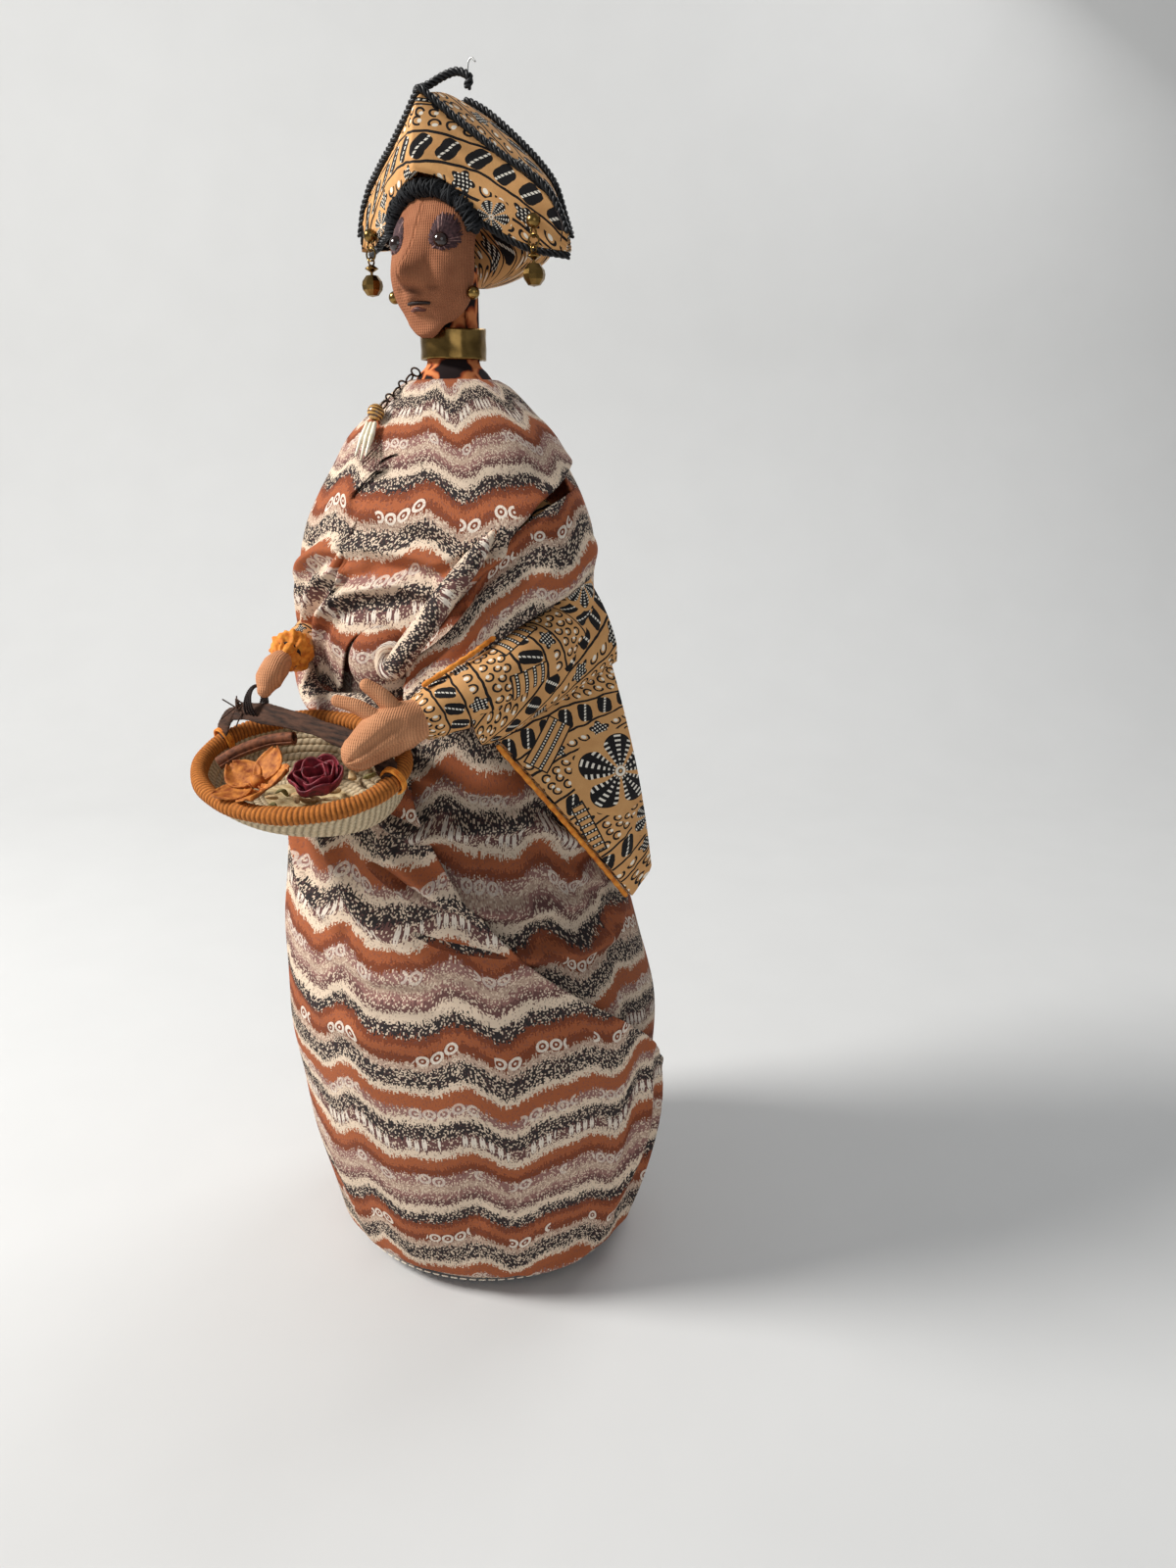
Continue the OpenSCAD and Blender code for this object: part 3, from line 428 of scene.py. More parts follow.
def batik(name, flowers=(), shift=(0, 0), bend=0.0, blocks=()):
    """Ochre cloth with black leaves, flowers, hooks and lines, and rows of white dots."""
    g = G(name, 0.78, spec=0.25)
    period = 30.0
    u0, v0 = g.flat()
    warp = g.noise(g.vec(u0 / 17, v0 / 17), 1, 1)
    p = u0 + (warp - 0.5) * 3 + (shift[0] + 900.0)
    q = v0 + (warp - 0.5) * 4 + u0 * u0 * bend + (shift[1] + 30 * period)
    row = (q / period).floor()
    c = (q / period).fract() * period
    ground = g.mix(g.noise(g.vec(u0 / 5, v0 / 5), 1, 3), OCHRE2, OCHRE)

    ink, dab = None, None

    def add(kind, m):
        nonlocal ink, dab
        if kind == "ink":
            ink = m if ink is None else ink.max(m)
        else:
            dab = m if dab is None else dab.max(m)

    def hooks(centre, size, seed):
        x, y, n = p.cell(size), c - centre, (p / size).floor()
        tilt = (g.rand(n, row, seed) - 0.5) * 2.6
        y = y + tilt * 0.4
        a, b = x * tilt.cos() - y * tilt.sin(), x * tilt.sin() + y * tilt.cos()
        r = (a * a + b * b).sqrt()
        add("ink", ((r - size * 0.31).abs() < 0.36) * (a < size * 0.16) * (y.abs() < size * 0.5))
        e = (a - size * 0.12) * 1.3
        add("dab", (e * e + b * b) < (size * 0.17) ** 2)

    # slanted leaves with a dotted middle
    x, y = (p + row * 4.0).cell(8.2), c - 5.0
    a = x - y * 0.62
    edge = (g.noise(g.vec(p / 1.4, q / 1.4), 1, 1) - 0.5) * 1.2
    leaf = ((a / 2.9).abs().power(3.2) + ((y + a * 0.35) / 3.5).abs().power(3.6)) < (edge * 0.35 + 1.0)
    add("ink", leaf)
    line = x - y * 0.8
    add("dab", leaf * (y.cell(1.25).abs() < 0.42) * (line.abs() < 0.42))
    for at in (0.55, 9.5, 22.6):
        add("ink", (c - at + (g.noise(g.vec(p / 6, row), 1, 1) - 0.5) * 1.6).abs() < 0.46)
    hooks(12.9, 4.6, 1.0)
    hooks(16.2, 4.1, 3.0)
    hooks(19.6, 4.6, 2.0)
    # small flowers between hooks in the last row
    x, y = (p + row * 9.0).cell(19.0), c - 26.2
    r, t = (x * x + y * y).sqrt(), y.atan2(x)
    flower = r < ((t * 5).cos() * 0.7 + 3.1)
    add("ink", flower)
    a, b = (x + 0.6).cell(1.2), (y + 0.6).cell(1.2)
    add("dab", flower * ((a * a + b * b) < 0.33 ** 2) * (r < 2.9))
    side = x.abs() > 4.6
    e = x.abs() - 7.0
    r = (e * e + y * y).sqrt()
    add("ink", ((r - 1.7).abs() < 0.36) * side * (y < 0.6))
    add("dab", (r < 0.85) * side)
    for fx, fy, R, petals, turn in flowers:
        x, y = u0 - fx, v0 - fy
        r, t = (x * x + y * y).sqrt(), y.atan2(x) + turn
        lobe = (t * (petals / 2)).cos().abs()
        clear = r < R * 1.12
        ink, dab = ink * (1 - clear), dab * (1 - clear)
        fan = (r < (lobe.power(0.5) * R * 0.55 + R * 0.45)) * (lobe > 0.3) * (r > R * 0.15)
        add("ink", fan)
        step = R / 8.0
        spokes = (t * (petals * 3.0)).cos() > 0.1
        add("dab", fan * (((r / step).fract() - 0.5).abs() < 0.21) * spokes)
        add("dab", (r - R * 0.1).abs() < R * 0.035)
        add("ink", (r - R * 0.06).abs() < R * 0.02)
    for fx, fy, w, h, turn in blocks:
        x, y = u0 - fx, v0 - fy
        a, b = x * math.cos(turn) + y * math.sin(turn), y * math.cos(turn) - x * math.sin(turn)
        box = (a.abs() < w) * (b.abs() < h)
        ink, dab = ink * (1 - box), dab * (1 - box)
        frame_ = box * ((a.abs() > w - 0.6).max(b.abs() > h - 0.6))
        add("ink", frame_.max(box * (b.cell(3.2).abs() < 0.75)))
        add("dab", box * (b.cell(3.2).abs() < 0.3) * (a.cell(1.2).abs() < 0.3) * (b.abs() < h - 1))
    col = g.mix(ink, ground, INK)
    col = g.mix(dab * 0.95, col, DAB)
    g.colour(col)
    g.bump(g.noise(g.vec(u0, v0), 1.9, 2), 0.12)
    return g.mat


def knit(name, a, b, painted_shade_spots=(), rib_shade=0.3):
    """Ribbed knit with painted shade in the rib grooves, and painted shade round the given points."""
    g = G(name, 0.9, spec=0.12)
    x, y, z = g.place()
    rib = ((x * 0.9 + y * 0.45) * (2 * pi / 0.78)).sin()
    stitch = (z * (2 * pi / 0.9) + rib).sin()
    blotch = g.noise(g.vec(x / 7, y / 7, z / 7), 1, 3)
    col = g.mix(blotch, srgb(*a), srgb(*b))
    # painted shade in the grooves between the ribs
    col = g.mix((rib * 0.5 + 0.5) * rib_shade, col, srgb(*[c * 0.62 for c in a]))
    # painted shade darkening towards each given point
    for w, reach, k in painted_shade_spots:
        dx, dy, dz = (x - w[0]) * 0.8, y - w[1], (z - w[2]) * 1.5
        dist = (dx * dx + dy * dy * 0.4 + dz * dz).sqrt()
        col = g.mix((1 - dist / reach).clamp() * k, col, srgb(40, 22, 18))
    g.colour(col)
    g.bump(rib * 0.5 + stitch * 0.3 + blotch, 0.16)
    return g.mat


def plain(name, a, b, size=3.0, rough=0.8, metal=0.0, depth=0.15, spec=0.3, detail=3.0, stretch=(1, 1, 1)):
    g = G(name, rough, metal, spec)
    x, y, z = g.place()
    n = g.noise(g.vec(x / (size * stretch[0]), y / (size * stretch[1]), z / (size * stretch[2])), 1, detail)
    g.colour(g.ramp(n, [(0.3, srgb(*a)), (0.7, srgb(*b))]))
    if depth:
        g.bump(n, depth)
    return g.mat


PRINT = wave_print("wave_print")
# the print darkened to 0.72: painted shade for the skirt and waist, which lie under the overwrap and the shawl
PRINT_UNDER_PAINTED_SHADE = wave_print("wave_print_under_painted_shade", 0.72, 31.0)
PRINT_SHAWL = wave_print("wave_print_shawl", 1.0, 64.0)
# the print darkened to 0.3: painted shade for the hollow inside the shawl
PRINT_PAINTED_SHADE = wave_print("wave_print_painted_shade", 0.3, 10.0)
ORANGE = plain("orange_cloth", (196, 104, 26), (240, 158, 60), 2.2, 0.7, depth=0.35)
BRASS = plain("aged_brass", (104, 80, 42), (160, 128, 74), 6.0, 0.24, 1.0, depth=0.05, detail=6)
CORD = plain("black_cord", (5, 5, 7), (18, 18, 20), 0.8, 0.45, depth=0.1, spec=0.4)
YARN = plain("hair_yarn", (8, 9, 10), (34, 36, 40), 0.7, 0.75, depth=0.3)
WADDING = plain("wadding_fill", (214, 208, 196), (236, 232, 222), 6, 0.95)
WOOD = plain("plain_wood", (176, 138, 92), (208, 172, 122), 3, 0.6, stretch=(0.4, 0.4, 6))
DARKWOOD = plain("dark_base_wood", (26, 20, 17), (48, 36, 28), 4, 0.5, stretch=(5, 0.5, 0.5))
STEEL = plain("steel_parts", (150, 150, 148), (188, 188, 186), 4, 0.35, 1.0, depth=0)
FELT = plain("base_felt_cloth", (20, 20, 22), (38, 38, 40), 0.7, 0.95)


def veins():
    g = G("vein_cloth", 0.88, spec=0.15)
    x, y, z = g.place()
    v = g.new("ShaderNodeTexVoronoi")
    v.feature = "DISTANCE_TO_EDGE"
    v.inputs["Scale"].default_value = 1.0
    w = g.noise(g.vec(x / 8, y / 8, z / 8), 1, 2)
    g.link(g.vec(x / 9 + w * 0.7, y / 9 + w * 0.5, z / 11 + w * 0.6), v.inputs["Vector"])
    d = X(g, v.outputs["Distance"])
    g.colour(g.ramp(d, [(0.04, srgb(210, 128, 78)), (0.1, srgb(158, 74, 40)), (0.15, srgb(34, 24, 24))]))
    return g.mat


VEIN = veins()

# ---------------------------------------------------------------- rows of the body

skirt_rows = spline([[4, 0, 0, 59, 56], [12, 0, 0, 65.5, 63], [24, 0, 0, 69, 66.5], [55, 0, -1, 75.5, 72.5],
                     [85, 0, -4, 78, 74], [114, 0, -7, 79, 75], [146, 0, -12, 75, 70], [172, 0, -15, 71.5, 64],
                     [200, 0, -16, 69, 58], [220, 0, -15, 65, 50], [238, 0, -13, 60, 42], [250, 0, -12, 56, 38]], 160)
shawl_rows = spline([[240, -7, -12, 66, 44], [270, -7, -12, 66, 44], [290, -7, -12, 66, 43], [309, -5, -11, 63.5, 41],
                     [322, -4, -10, 57.5, 38], [333, -3, -10, 50.5, 34], [344, -2, -10, 42.5, 31],
                     [353, -1, -9.5, 31.5, 26], [361, 0, -9, 21, 20], [364, 0, -9, 15.5, 15.5]], 160)
head_rows = spline([[378, 0, 15.3, 2, 1.4], [379.4, 0, 15.6, 4.4, 2.6], [382.3, 0, 15.2, 7.6, 3.0],
                    [384.2, 0, 12.8, 9.8, 5.8], [387, 0, 11.4, 12.2, 7.8], [389.6, 0, 11.1, 14.2, 8.9],
                    [393, 0, 11.1, 15.6, 10.2], [398, 0, 11.2, 16.2, 11.4], [402, 0, 11, 16.3, 11.8],
                    [407, 0, 10.4, 16.2, 11.4], [411, 0, 9.4, 16, 11.4], [414, 0, 8.4, 15.8, 11.4],
                    [418, 0, 6.8, 15.4, 11.2], [424, 0, 4, 14.3, 10.6], [430, 0, 2, 12.2, 9.4],
                    [436, 0, 0.8, 9, 7.4], [440, 0, 0, 5.8, 5], [442.4, 0, -0.4, 2.4, 2]], 200)


def on(rows, t, z, d=0.0):
    """Points round a body of rows at angle t in degrees and height z, d outside it."""
    t, z, d = np.broadcast_arrays(np.asarray(t, float), z, d)
    f = [np.interp(z, rows[:, 0], rows[:, k]) for k in range(1, 5)]
    a = np.radians(t)
    return np.stack([f[0] + (f[2] + d) * np.cos(a), f[1] + (f[3] + d) * np.sin(a), z], -1)


def crease(U, V, points, width, depth):
    """A soft ridge (or valley) along a line drawn on a flat cloth."""
    p = np.asarray(points, float)
    best = np.full(U.shape, 1e9)
    along = np.zeros(U.shape)
    for k in range(len(p) - 1):
        e = p[k + 1] - p[k]
        s = np.clip(((U - p[k, 0]) * e[0] + (V - p[k, 1]) * e[1]) / (e @ e), 0, 1)
        d = np.hypot(U - p[k, 0] - s * e[0], V - p[k, 1] - s * e[1])
        along = np.where(d < best, (k + s) / (len(p) - 1), along)
        best = np.minimum(best, d)
    fade = np.sin(np.clip(along, 0.04, 0.96) * pi) ** 0.5
    return depth * (bell(best, width) - 0.45 * bell(best - 1.7 * width, width)) * fade


def creased(D, U, V, radius, lines):
    """D with creases added. Each is a line of (angle in degrees, height) points, a width and a depth."""
    for points, width, depth in lines:
        D = D + crease(U, V, [(math.radians(a) * radius, h) for a, h in points], width, depth)
    return D


# ---------------------------------------------------------------- dress

R0 = 72.0                     # the print is laid out on a cylinder of this radius
t = np.linspace(0, 360, 300, endpoint=False)
z = np.concatenate([[4.2, 4.6, 5.6, 7.5], np.linspace(10, 249, 190)])
T, Z = np.meshgrid(t, z)
U = np.radians(T) * R0
D = wobble(U, Z, 60, 3) * 0.8 + 1.2 * np.sin(np.radians(T) * 7 + Z / 60) * bell(Z - 240, 60) - 0.8
swags = (([(-100, 216), (-68, 206), (-31, 211), (-2, 196)], 4.0, 6.0),
         ([(-94, 200), (-68, 186), (-40, 178), (-8, 176)], 4.2, 5.4),
         ([(-84, 229), (-52, 222), (-22, 218), (6, 208)], 3.4, 4.6),
         ([(-66, 170), (-34, 160), (2, 158), (24, 168)], 4.4, 4.2),
         ([(-20, 190), (4, 180), (24, 186)], 3.0, 2.4))
D = creased(D, np.where(U > pi * R0, U - 2 * pi * R0, U), Z, R0, swags)
UVs = np.stack(np.meshgrid(np.radians(np.linspace(0, 360, 301)) * R0, z), 2)
# the skirt under the overwrap, in the print with painted shade
piece("dress_skirt_cloth", [grid(on(skirt_rows, T, Z, np.maximum(D, -2.1)), UVs, wrap=True)], PRINT_UNDER_PAINTED_SHADE,
      "figure", "dress_skirt", 0.8, out=-1)

# the waist of the dress, going up under the shawl, in the print with painted shade
waist_rows = spline([[249.4, 0, -12, 55.4, 37.2], [253, 0, -11.8, 50, 34.5], [259, 0, -11, 41, 29.5],
                     [268, 0, -10.4, 35.4, 25.8], [285, 0, -10, 30.4, 24], [303, 0, -10, 26, 21.8]], 80)
T, Z = np.meshgrid(np.linspace(0, 360, 200, endpoint=False), np.linspace(249.4, 302, 60))
UVs = np.stack(np.meshgrid(np.radians(np.linspace(0, 360, 201)) * 50, np.linspace(249.4, 312, 60)), 2)
piece("waist_cloth", [grid(on(waist_rows, T, Z, 0.5 * np.sin(np.radians(T) * 11) * bell(Z - 262, 14)), UVs, wrap=True)],
      PRINT_UNDER_PAINTED_SHADE, "figure")

high = spline([[-80, 244], [-66, 210], [-34, 160], [0, 120], [28, 84], [42, 58]], 100)
t = np.linspace(-228, 42, 300)
s = np.concatenate([[0, 0.002, 0.008], np.linspace(0.02, 1, 130)])
T, S = np.meshgrid(t, s)
top = np.interp(T, high[:, 0], high[:, 1])
Z = 4.6 + (top - 4.6) * S
U = np.radians(T) * R0
edge = top - Z
D = (1.9 + wobble(U, Z, 70, 5) * 0.7 + 0.9 * bell(edge, 5) * (T > -80)
     + 0.8 * np.sin(np.radians(T) * 9 + Z / 45) * bell(Z - 235, 45))
folds = (([(-134, 230), (-124, 200), (-110, 178), (-92, 168)], 3.0, 4.0),
         ([(-116, 234), (-104, 204), (-84, 176), (-60, 160), (-36, 156)], 3.6, 3.6),
         ([(-92, 226), (-76, 200), (-56, 184), (-36, 178), (-12, 184)], 3.6, 3.4),
         ([(-66, 222), (-52, 206), (-30, 198), (-8, 204)], 3.4, 3.0),
         ([(-100, 152), (-80, 146), (-60, 148), (-40, 142)], 2.8, -2.4),
         ([(-120, 140), (-96, 128), (-66, 126)], 5.0, 1.6),
         ([(12, 98), (6, 62), (-8, 26)], 4.5, 3.2),
         ([(28, 82), (24, 52), (8, 16)], 4.5, 3.0),
         ([(-4, 22), (-20, 11), (-38, 8)], 3.0, 2.6),
         ([(-46, 60), (-52, 34), (-60, 10)], 5.0, 1.4),
         ([(-110, 70), (-104, 36), (-100, 8)], 6.0, 1.2),
         ([(-150, 120), (-146, 80), (-140, 40)], 6.0, 1.8))
D = creased(D, U, Z, R0, folds)
# the loose top of the overwrap, swagged under the forearm
D = D + 1.6 * np.sin(Z / 4.2 + np.radians(T) * 5) * bell(Z - 205, 22) * bell(T + 50, 42)
D = D - 1.1 * bell(Z - 4.6, 2.5)
piece("dress_overwrap_cloth", [grid(on(skirt_rows, T, Z, np.maximum(D, 0.9)), np.stack([U, Z + 1.5], 2))],
      PRINT, "figure", "dress_overwrap", 0.8, out=-1)

# pale running stitches at the hem
parts = []
for a in np.arange(-150, -8, 3.6):
    q = on(skirt_rows, np.linspace(a, a + 2.1, 5), 7.0, 2.6)
    parts.append(tube(q, 0.32, 6))
thread = plain("pale_thread", (214, 204, 184), (236, 228, 212), 1, 0.8)
piece("hem_stitches", parts, thread, "figure")

# ---------------------------------------------------------------- shawl

edge_t = spline([[262, -73], [272, -66], [284, -57], [295, -48], [304, -38], [311, -35], [316, -29], [322, -19],
                 [328, -3], [333, 14], [341, 50], [364, 70]], 100)
low = spline([[-215, 262], [-180, 258], [-150, 251], [-135, 247], [-120, 245], [-110, 246], [-104, 250],
              [-101, 256], [-99.5, 264], [-95, 271], [-88, 275.5], [-80, 277], [-72, 275], [-65, 271], [-40, 268],
              [70, 268]], 200)
j = np.linspace(0, 1, 330) ** 0.9
s = np.linspace(0, 1, 130)
J, S = np.meshgrid(j, s)
T = np.zeros_like(J)
Z = np.zeros_like(J)
for k in range(6):            # the right edge depends on height and the lower edge on angle
    right = np.interp(Z if k else np.full_like(J, 310.0), edge_t[:, 0], edge_t[:, 1])
    T = -212 + (right + 212) * J
    bottom = np.interp(T, low[:, 0], low[:, 1])
    Z = bottom + (364 - bottom) * S ** 0.95
SHAWL_R = 60                  # the shawl's folds are laid out on a cylinder of this radius
U = np.radians(T) * SHAWL_R
away = np.radians(right - T) * SHAWL_R           # mm from the free edge
D = 1.1 + 2.0 * bell(away, 16) * bell(Z - 305, 45) - 2.4 * bell(away, 1.2) * bell(Z - 305, 40)
D = D + wobble(U, Z, 55, 11) * 0.7 * (Z < 350)
folds = (([(-50, 296), (-66, 303), (-88, 306), (-112, 303), (-136, 294)], 3.2, 3.0),
         ([(-58, 289), (-74, 294), (-94, 290), (-110, 279), (-118, 262)], 3.0, 4.0),
         ([(-92, 299), (-112, 293), (-124, 276), (-127, 256)], 3.0, 3.2),
         ([(-112, 305), (-134, 292), (-143, 268)], 3.8, 2.6),
         ([(-38, 309), (-50, 303), (-64, 297)], 2.4, -2.2),
         ([(-28, 318), (-52, 314), (-84, 318), (-120, 326)], 5.0, 1.5),
         ([(-20, 334), (-50, 334), (-80, 342)], 5.0, 1.0))
D = creased(D, U, Z, SHAWL_R, folds)
hollow = bell(np.hypot((T + 99) * 1.1, Z - 266), 14)
D = D - 1.0 * hollow * (T > -103)
UV = np.stack([np.radians(T) * 58, Z * 1.16 + np.maximum(0, Z - 330) * 0.35], 2)
parts = [grid(on(shawl_rows, T, Z, D), UV)]
# the right shoulder and the back
T, S = np.meshgrid(np.linspace(6, 160, 160), np.linspace(0, 1, 80))
bottom = np.interp(T, [6, 40, 70, 110, 160], [292, 288, 262, 256, 260])
Z = bottom + (350 - bottom) * S
D = 0.2 + wobble(T, Z, 50, 4) * 0.6
parts.append(grid(on(shawl_rows, T, Z, D), np.stack([np.radians(T) * 58, Z * 1.16], 2)))
# the band from the right shoulder down into the twist
S_ = lambda t_, z_, d_: tuple(on(shawl_rows, t_, z_, d_))
net = np.array([
    [S_(45, 328, 0.0), S_(8, 326, 1.2), S_(-18, 320, 1.8), S_(-34, 312, 1.0), S_(-44, 302, 0.5), (27, -46, 288),
     (18, -51, 274)],
    [S_(45, 319, 0.8), S_(8, 317, 2.0), S_(-18, 311, 3.0), S_(-34, 303, 2.5), S_(-46, 294, 2.0), (31, -51, 280),
     (20, -57, 269)],
    [S_(45, 307, 1.2), S_(8, 304.5, 3.2), S_(-18, 299, 4.0), S_(-34, 292, 4.0), S_(-46, 284, 6.0), (33.5, -58, 271),
     (21, -64, 262)],
    [S_(45, 296, 0.5), S_(8, 292, 2.2), S_(-18, 286.5, 4.0), S_(-33, 281, 7.0), (46.5, -50, 273), (37.5, -63, 265.5),
     (22, -69, 255)]], float)
P = patch(net, 130, 70)
N = np.cross(np.gradient(P, axis=1), np.gradient(P, axis=0))
N /= np.linalg.norm(N, axis=2)[..., None]
if (N[35, 60] @ np.array([0.5, -0.8, 0.2])) < 0:
    N = -N
a, b = np.meshgrid(np.linspace(0, 1, 130), np.linspace(0, 1, 70))
ripple = ((1.7 * np.sin(b * 3.1 * pi + a * 2.2 + 0.5) + 0.8 * np.sin(b * 7 * pi - a * 3)) * (0.2 + 0.8 * a)
          * np.sin(np.clip(b, 0.03, 0.97) * pi) ** 0.4)
roll = -2.2 * bell(b - 1, 0.06)
P = P + N * (ripple + roll)[..., None]
UV = np.stack([-np.broadcast_to(run(P[35]), P.shape[:2]) + 40, 300 - b * 46 - 10], 2)
parts.append(grid(P, UV))
# the tube fold and its curled end
path = spline([(42.5, -39, 312), (40.5, -45, 305.5), (36.5, -49.5, 298), (32.5, -53.5, 291), (28, -57.5, 283),
               (23, -61, 275), (18.5, -63, 268.5), (14.5, -63.5, 264.5), (11, -63.5, 266), (10.8, -63, 270.5),
               (14.3, -61.5, 272.5), (16.5, -61.5, 270)], 110)
path = path + np.array([0.9, -1.5, 0.2])
rad = np.interp(np.linspace(0, 1, 110), [0, 0.12, 0.3, 0.55, 0.66, 0.78, 1], [1.4, 4.0, 5.0, 4.9, 4.0, 2.9, 1.6])
P, F, uv = tube(path, rad, 24, 0.85)
parts.append((P, F, np.stack([uv[..., 1] + 20, uv[..., 0] + 226], -1)))
# the rounded lobe of the twist
V, H = np.meshgrid(np.linspace(-pi / 2 + 0.02, pi / 2 - 0.02, 40), around(60), indexing="ij")
side, fwd, upw = np.array([0.82, 0.57, 0]), np.array([0.55, -0.78, 0.3]), np.array([-0.05, 0.1, 1.0])
lobe = (np.array([5.6, -58.8, 265]) + side * (12.2 * np.cos(V) * np.cos(H) + 3.5 * bell(V + 1.2, 0.8))[..., None]
        + fwd * (7.0 * np.cos(V) * np.sin(H))[..., None] + upw * (13.0 * np.sin(V))[..., None])
UV = np.stack([H * 10 + 13, V * 15 + 214], 2)
UV = np.concatenate([UV, UV[:, :1] + [2 * pi * 10, 0]], 1)
parts.append(grid(lobe, UV, wrap=True))
# the hanging end, rolled along the lower left edge
path = spline([(-63, -30, 276), (-57, -40, 266), (-48, -49, 256), (-35, -57.5, 248.5), (-22, -62, 246.5),
               (-8, -62, 248.5), (4, -62, 251)], 60)
P, F, uv = tube(path, np.interp(np.linspace(0, 1, 60), [0, 0.3, 0.7, 1], [2.0, 5.0, 5.4, 3.6]), 22, 0.5,
                up=(0.1, -1, 0.35))
parts.append((P, F, np.stack([uv[..., 1], uv[..., 0] + 244], -1)))
piece("shawl_cloth", parts, PRINT_SHAWL, "figure", ("shawl_body", "shawl_fold", "shawl_knot", "shawl_tail"),
      0.8, out=-1)
# a dark sheet inside the shawl, seen in the hollow beside the twist, in the print darkened as painted shade
T, Z = np.meshgrid(np.linspace(-150, 0, 90), np.linspace(246, 292, 24))
piece("shawl_inside", [grid(on(shawl_rows, T, Z, -2.6), np.stack([np.radians(T) * 58, Z], 2))], PRINT_PAINTED_SHADE, "figure")


# ---------------------------------------------------------------- sleeves, cuff and flap

def rings(points, radii, n, k, up=None):
    """A limb of k rings of n points: its path, rings, outward directions and sizes, its faces and flat coordinates,
    how far along each ring is, and the angles round it."""
    path = spline(points, k)
    P, F, uv = tube(path, np.interp(np.linspace(0, 1, k), np.linspace(0, 1, len(radii)), radii), n, up=up)
    Q = P.reshape(-1, n, 3)
    out = Q - Q.mean(1, keepdims=True)
    size = np.linalg.norm(out, axis=2, keepdims=True) + 1e-6
    return path, Q, out / size, size[..., 0], F, uv, np.linspace(0, 1, len(Q))[:, None], around(n)[None, :]


def limb_piece(name, points, radii, mat, stands_for, k=120, up=None, wrinkle=0.5, seed=1, folds=()):
    """A stuffed sleeve with soft wrinkles across it."""
    n = 64
    path, Q, out, size, F, uv, rows, a = rings(points, radii, n, k, up)
    d = wobble(rows * run(path)[-1], a * 8 + 0 * rows, 16, seed) * wrinkle
    for at, turn, w, depth in folds:
        d = d + depth * bell(rows - at - 0.05 * np.sin(a - turn), w) * (0.55 + 0.45 * np.cos(a - turn))
    Q = Q + out * (d * np.minimum(1, size / 3))[..., None]
    UV = np.stack(np.meshgrid(np.linspace(0, 2 * pi * max(radii), n + 1), run(Q.mean(1))), 2)
    piece(name, [grid(Q, UV, wrap=True)], mat, "figure", stands_for)


SLEEVE = batik("batik_sleeve", flowers=((22, 18, 8.5, 6, 0.3),), shift=(3, 6),
               blocks=((36, 58, 7.5, 8, 0.12), (14, 62, 5.5, 7, -0.2)))
SLEEVE2 = batik("batik_sleeve_right", shift=(14, 19))
left_arm = [[48, -8, 299], [50, -8, 293], [52, -14, 277], [49, -40, 264], [35.5, -67, 252]]
limb_piece("left_forearm_cloth", left_arm, [9.0, 9.8, 11.8, 12.0, 9.3], SLEEVE, "left_forearm_sleeve",
           up=(1, 0, 0.3), wrinkle=0.45, seed=3,
           folds=((0.45, 1, 0.03, -1.2), (0.6, 2.5, 0.03, -0.8), (0.86, 0.5, 0.03, -0.7)))
limb_piece("left_shoulder_cloth", [[31, -9, 321], [39, -8.5, 313], [46.5, -8, 302]], [7, 8.5, 9], SLEEVE,
           "left_upper_sleeve", k=40)
limb_piece("right_shoulder_cloth", [[-33, -9, 321], [-42, -9, 313], [-48.5, -10, 302]], [7, 8, 8.5], SLEEVE2,
           "right_upper_sleeve", k=40)
right_arm = [[-50, -11, 298], [-51, -12, 292], [-50, -24, 277], [-46, -46, 268], [-42.6, -56, 266]]
limb_piece("right_forearm_cloth", right_arm, [8.4, 8.4, 8.4, 7.9, 6.4], SLEEVE2, "right_forearm_sleeve",
           up=(1, 0, 0.3), seed=5, folds=((0.5, 1, 0.04, -1.0), (0.75, 3, 0.04, -0.8)))
path = spline([[35.5, -70, 262.8], [43.5, -55, 271.6], [47, -44, 277.4], [49, -34, 281]], 60)
piece("sleeve_edge", [tube(path, 0.9 + 0.15 * np.sin(np.arange(60) * 1.3), 12)], ORANGE, "figure",
      "left_sleeve_piping")
# the puffed and crushed cuff with its dark thread
puffs = np.interp(np.linspace(0, 1, 90), [0, 0.12, 0.45, 0.8, 0.93, 1], [6.0, 7.2, 8.2, 6.6, 4.4, 5.6])
path, Q, out, size, F, uv, rows, a = rings([[-42, -57.5, 265.8], [-40, -62, 265.2], [-37.4, -67, 264.4]], puffs, 72, 90)
Q = Q + out * (0.55 * np.sin(11 * a + 5 * rows) * bell(rows - 0.75, 0.4) + 0.5 * np.sin(5 * a - 9 * rows + 2)
               + 0.35 * np.sin(17 * a + 14 * rows))[..., None] * 0.9
piece("orange_cuff", [(Q.reshape(-1, 3), F, uv)], ORANGE, "figure", "right_cuff")
THREAD = plain("dark_thread", (22, 14, 12), (48, 30, 24), 0.7, 0.6)
ang = np.linspace(0, 2 * pi * 3, 90)
c, d1 = np.array([-37.9, -65.9, 264.5]), np.array([0.46, -0.88, -0.14])
e1 = np.cross(d1, [0, 0, 1.0])
e1 /= np.linalg.norm(e1)
e2 = np.cross(d1, e1)
q = c + 4.9 * (np.cos(ang)[:, None] * e1 + np.sin(ang)[:, None] * e2) + np.linspace(-0.9, 0.9, 90)[:, None] * d1
piece("cuff_tie", [tube(q, 0.42, 8)], THREAD, "figure")

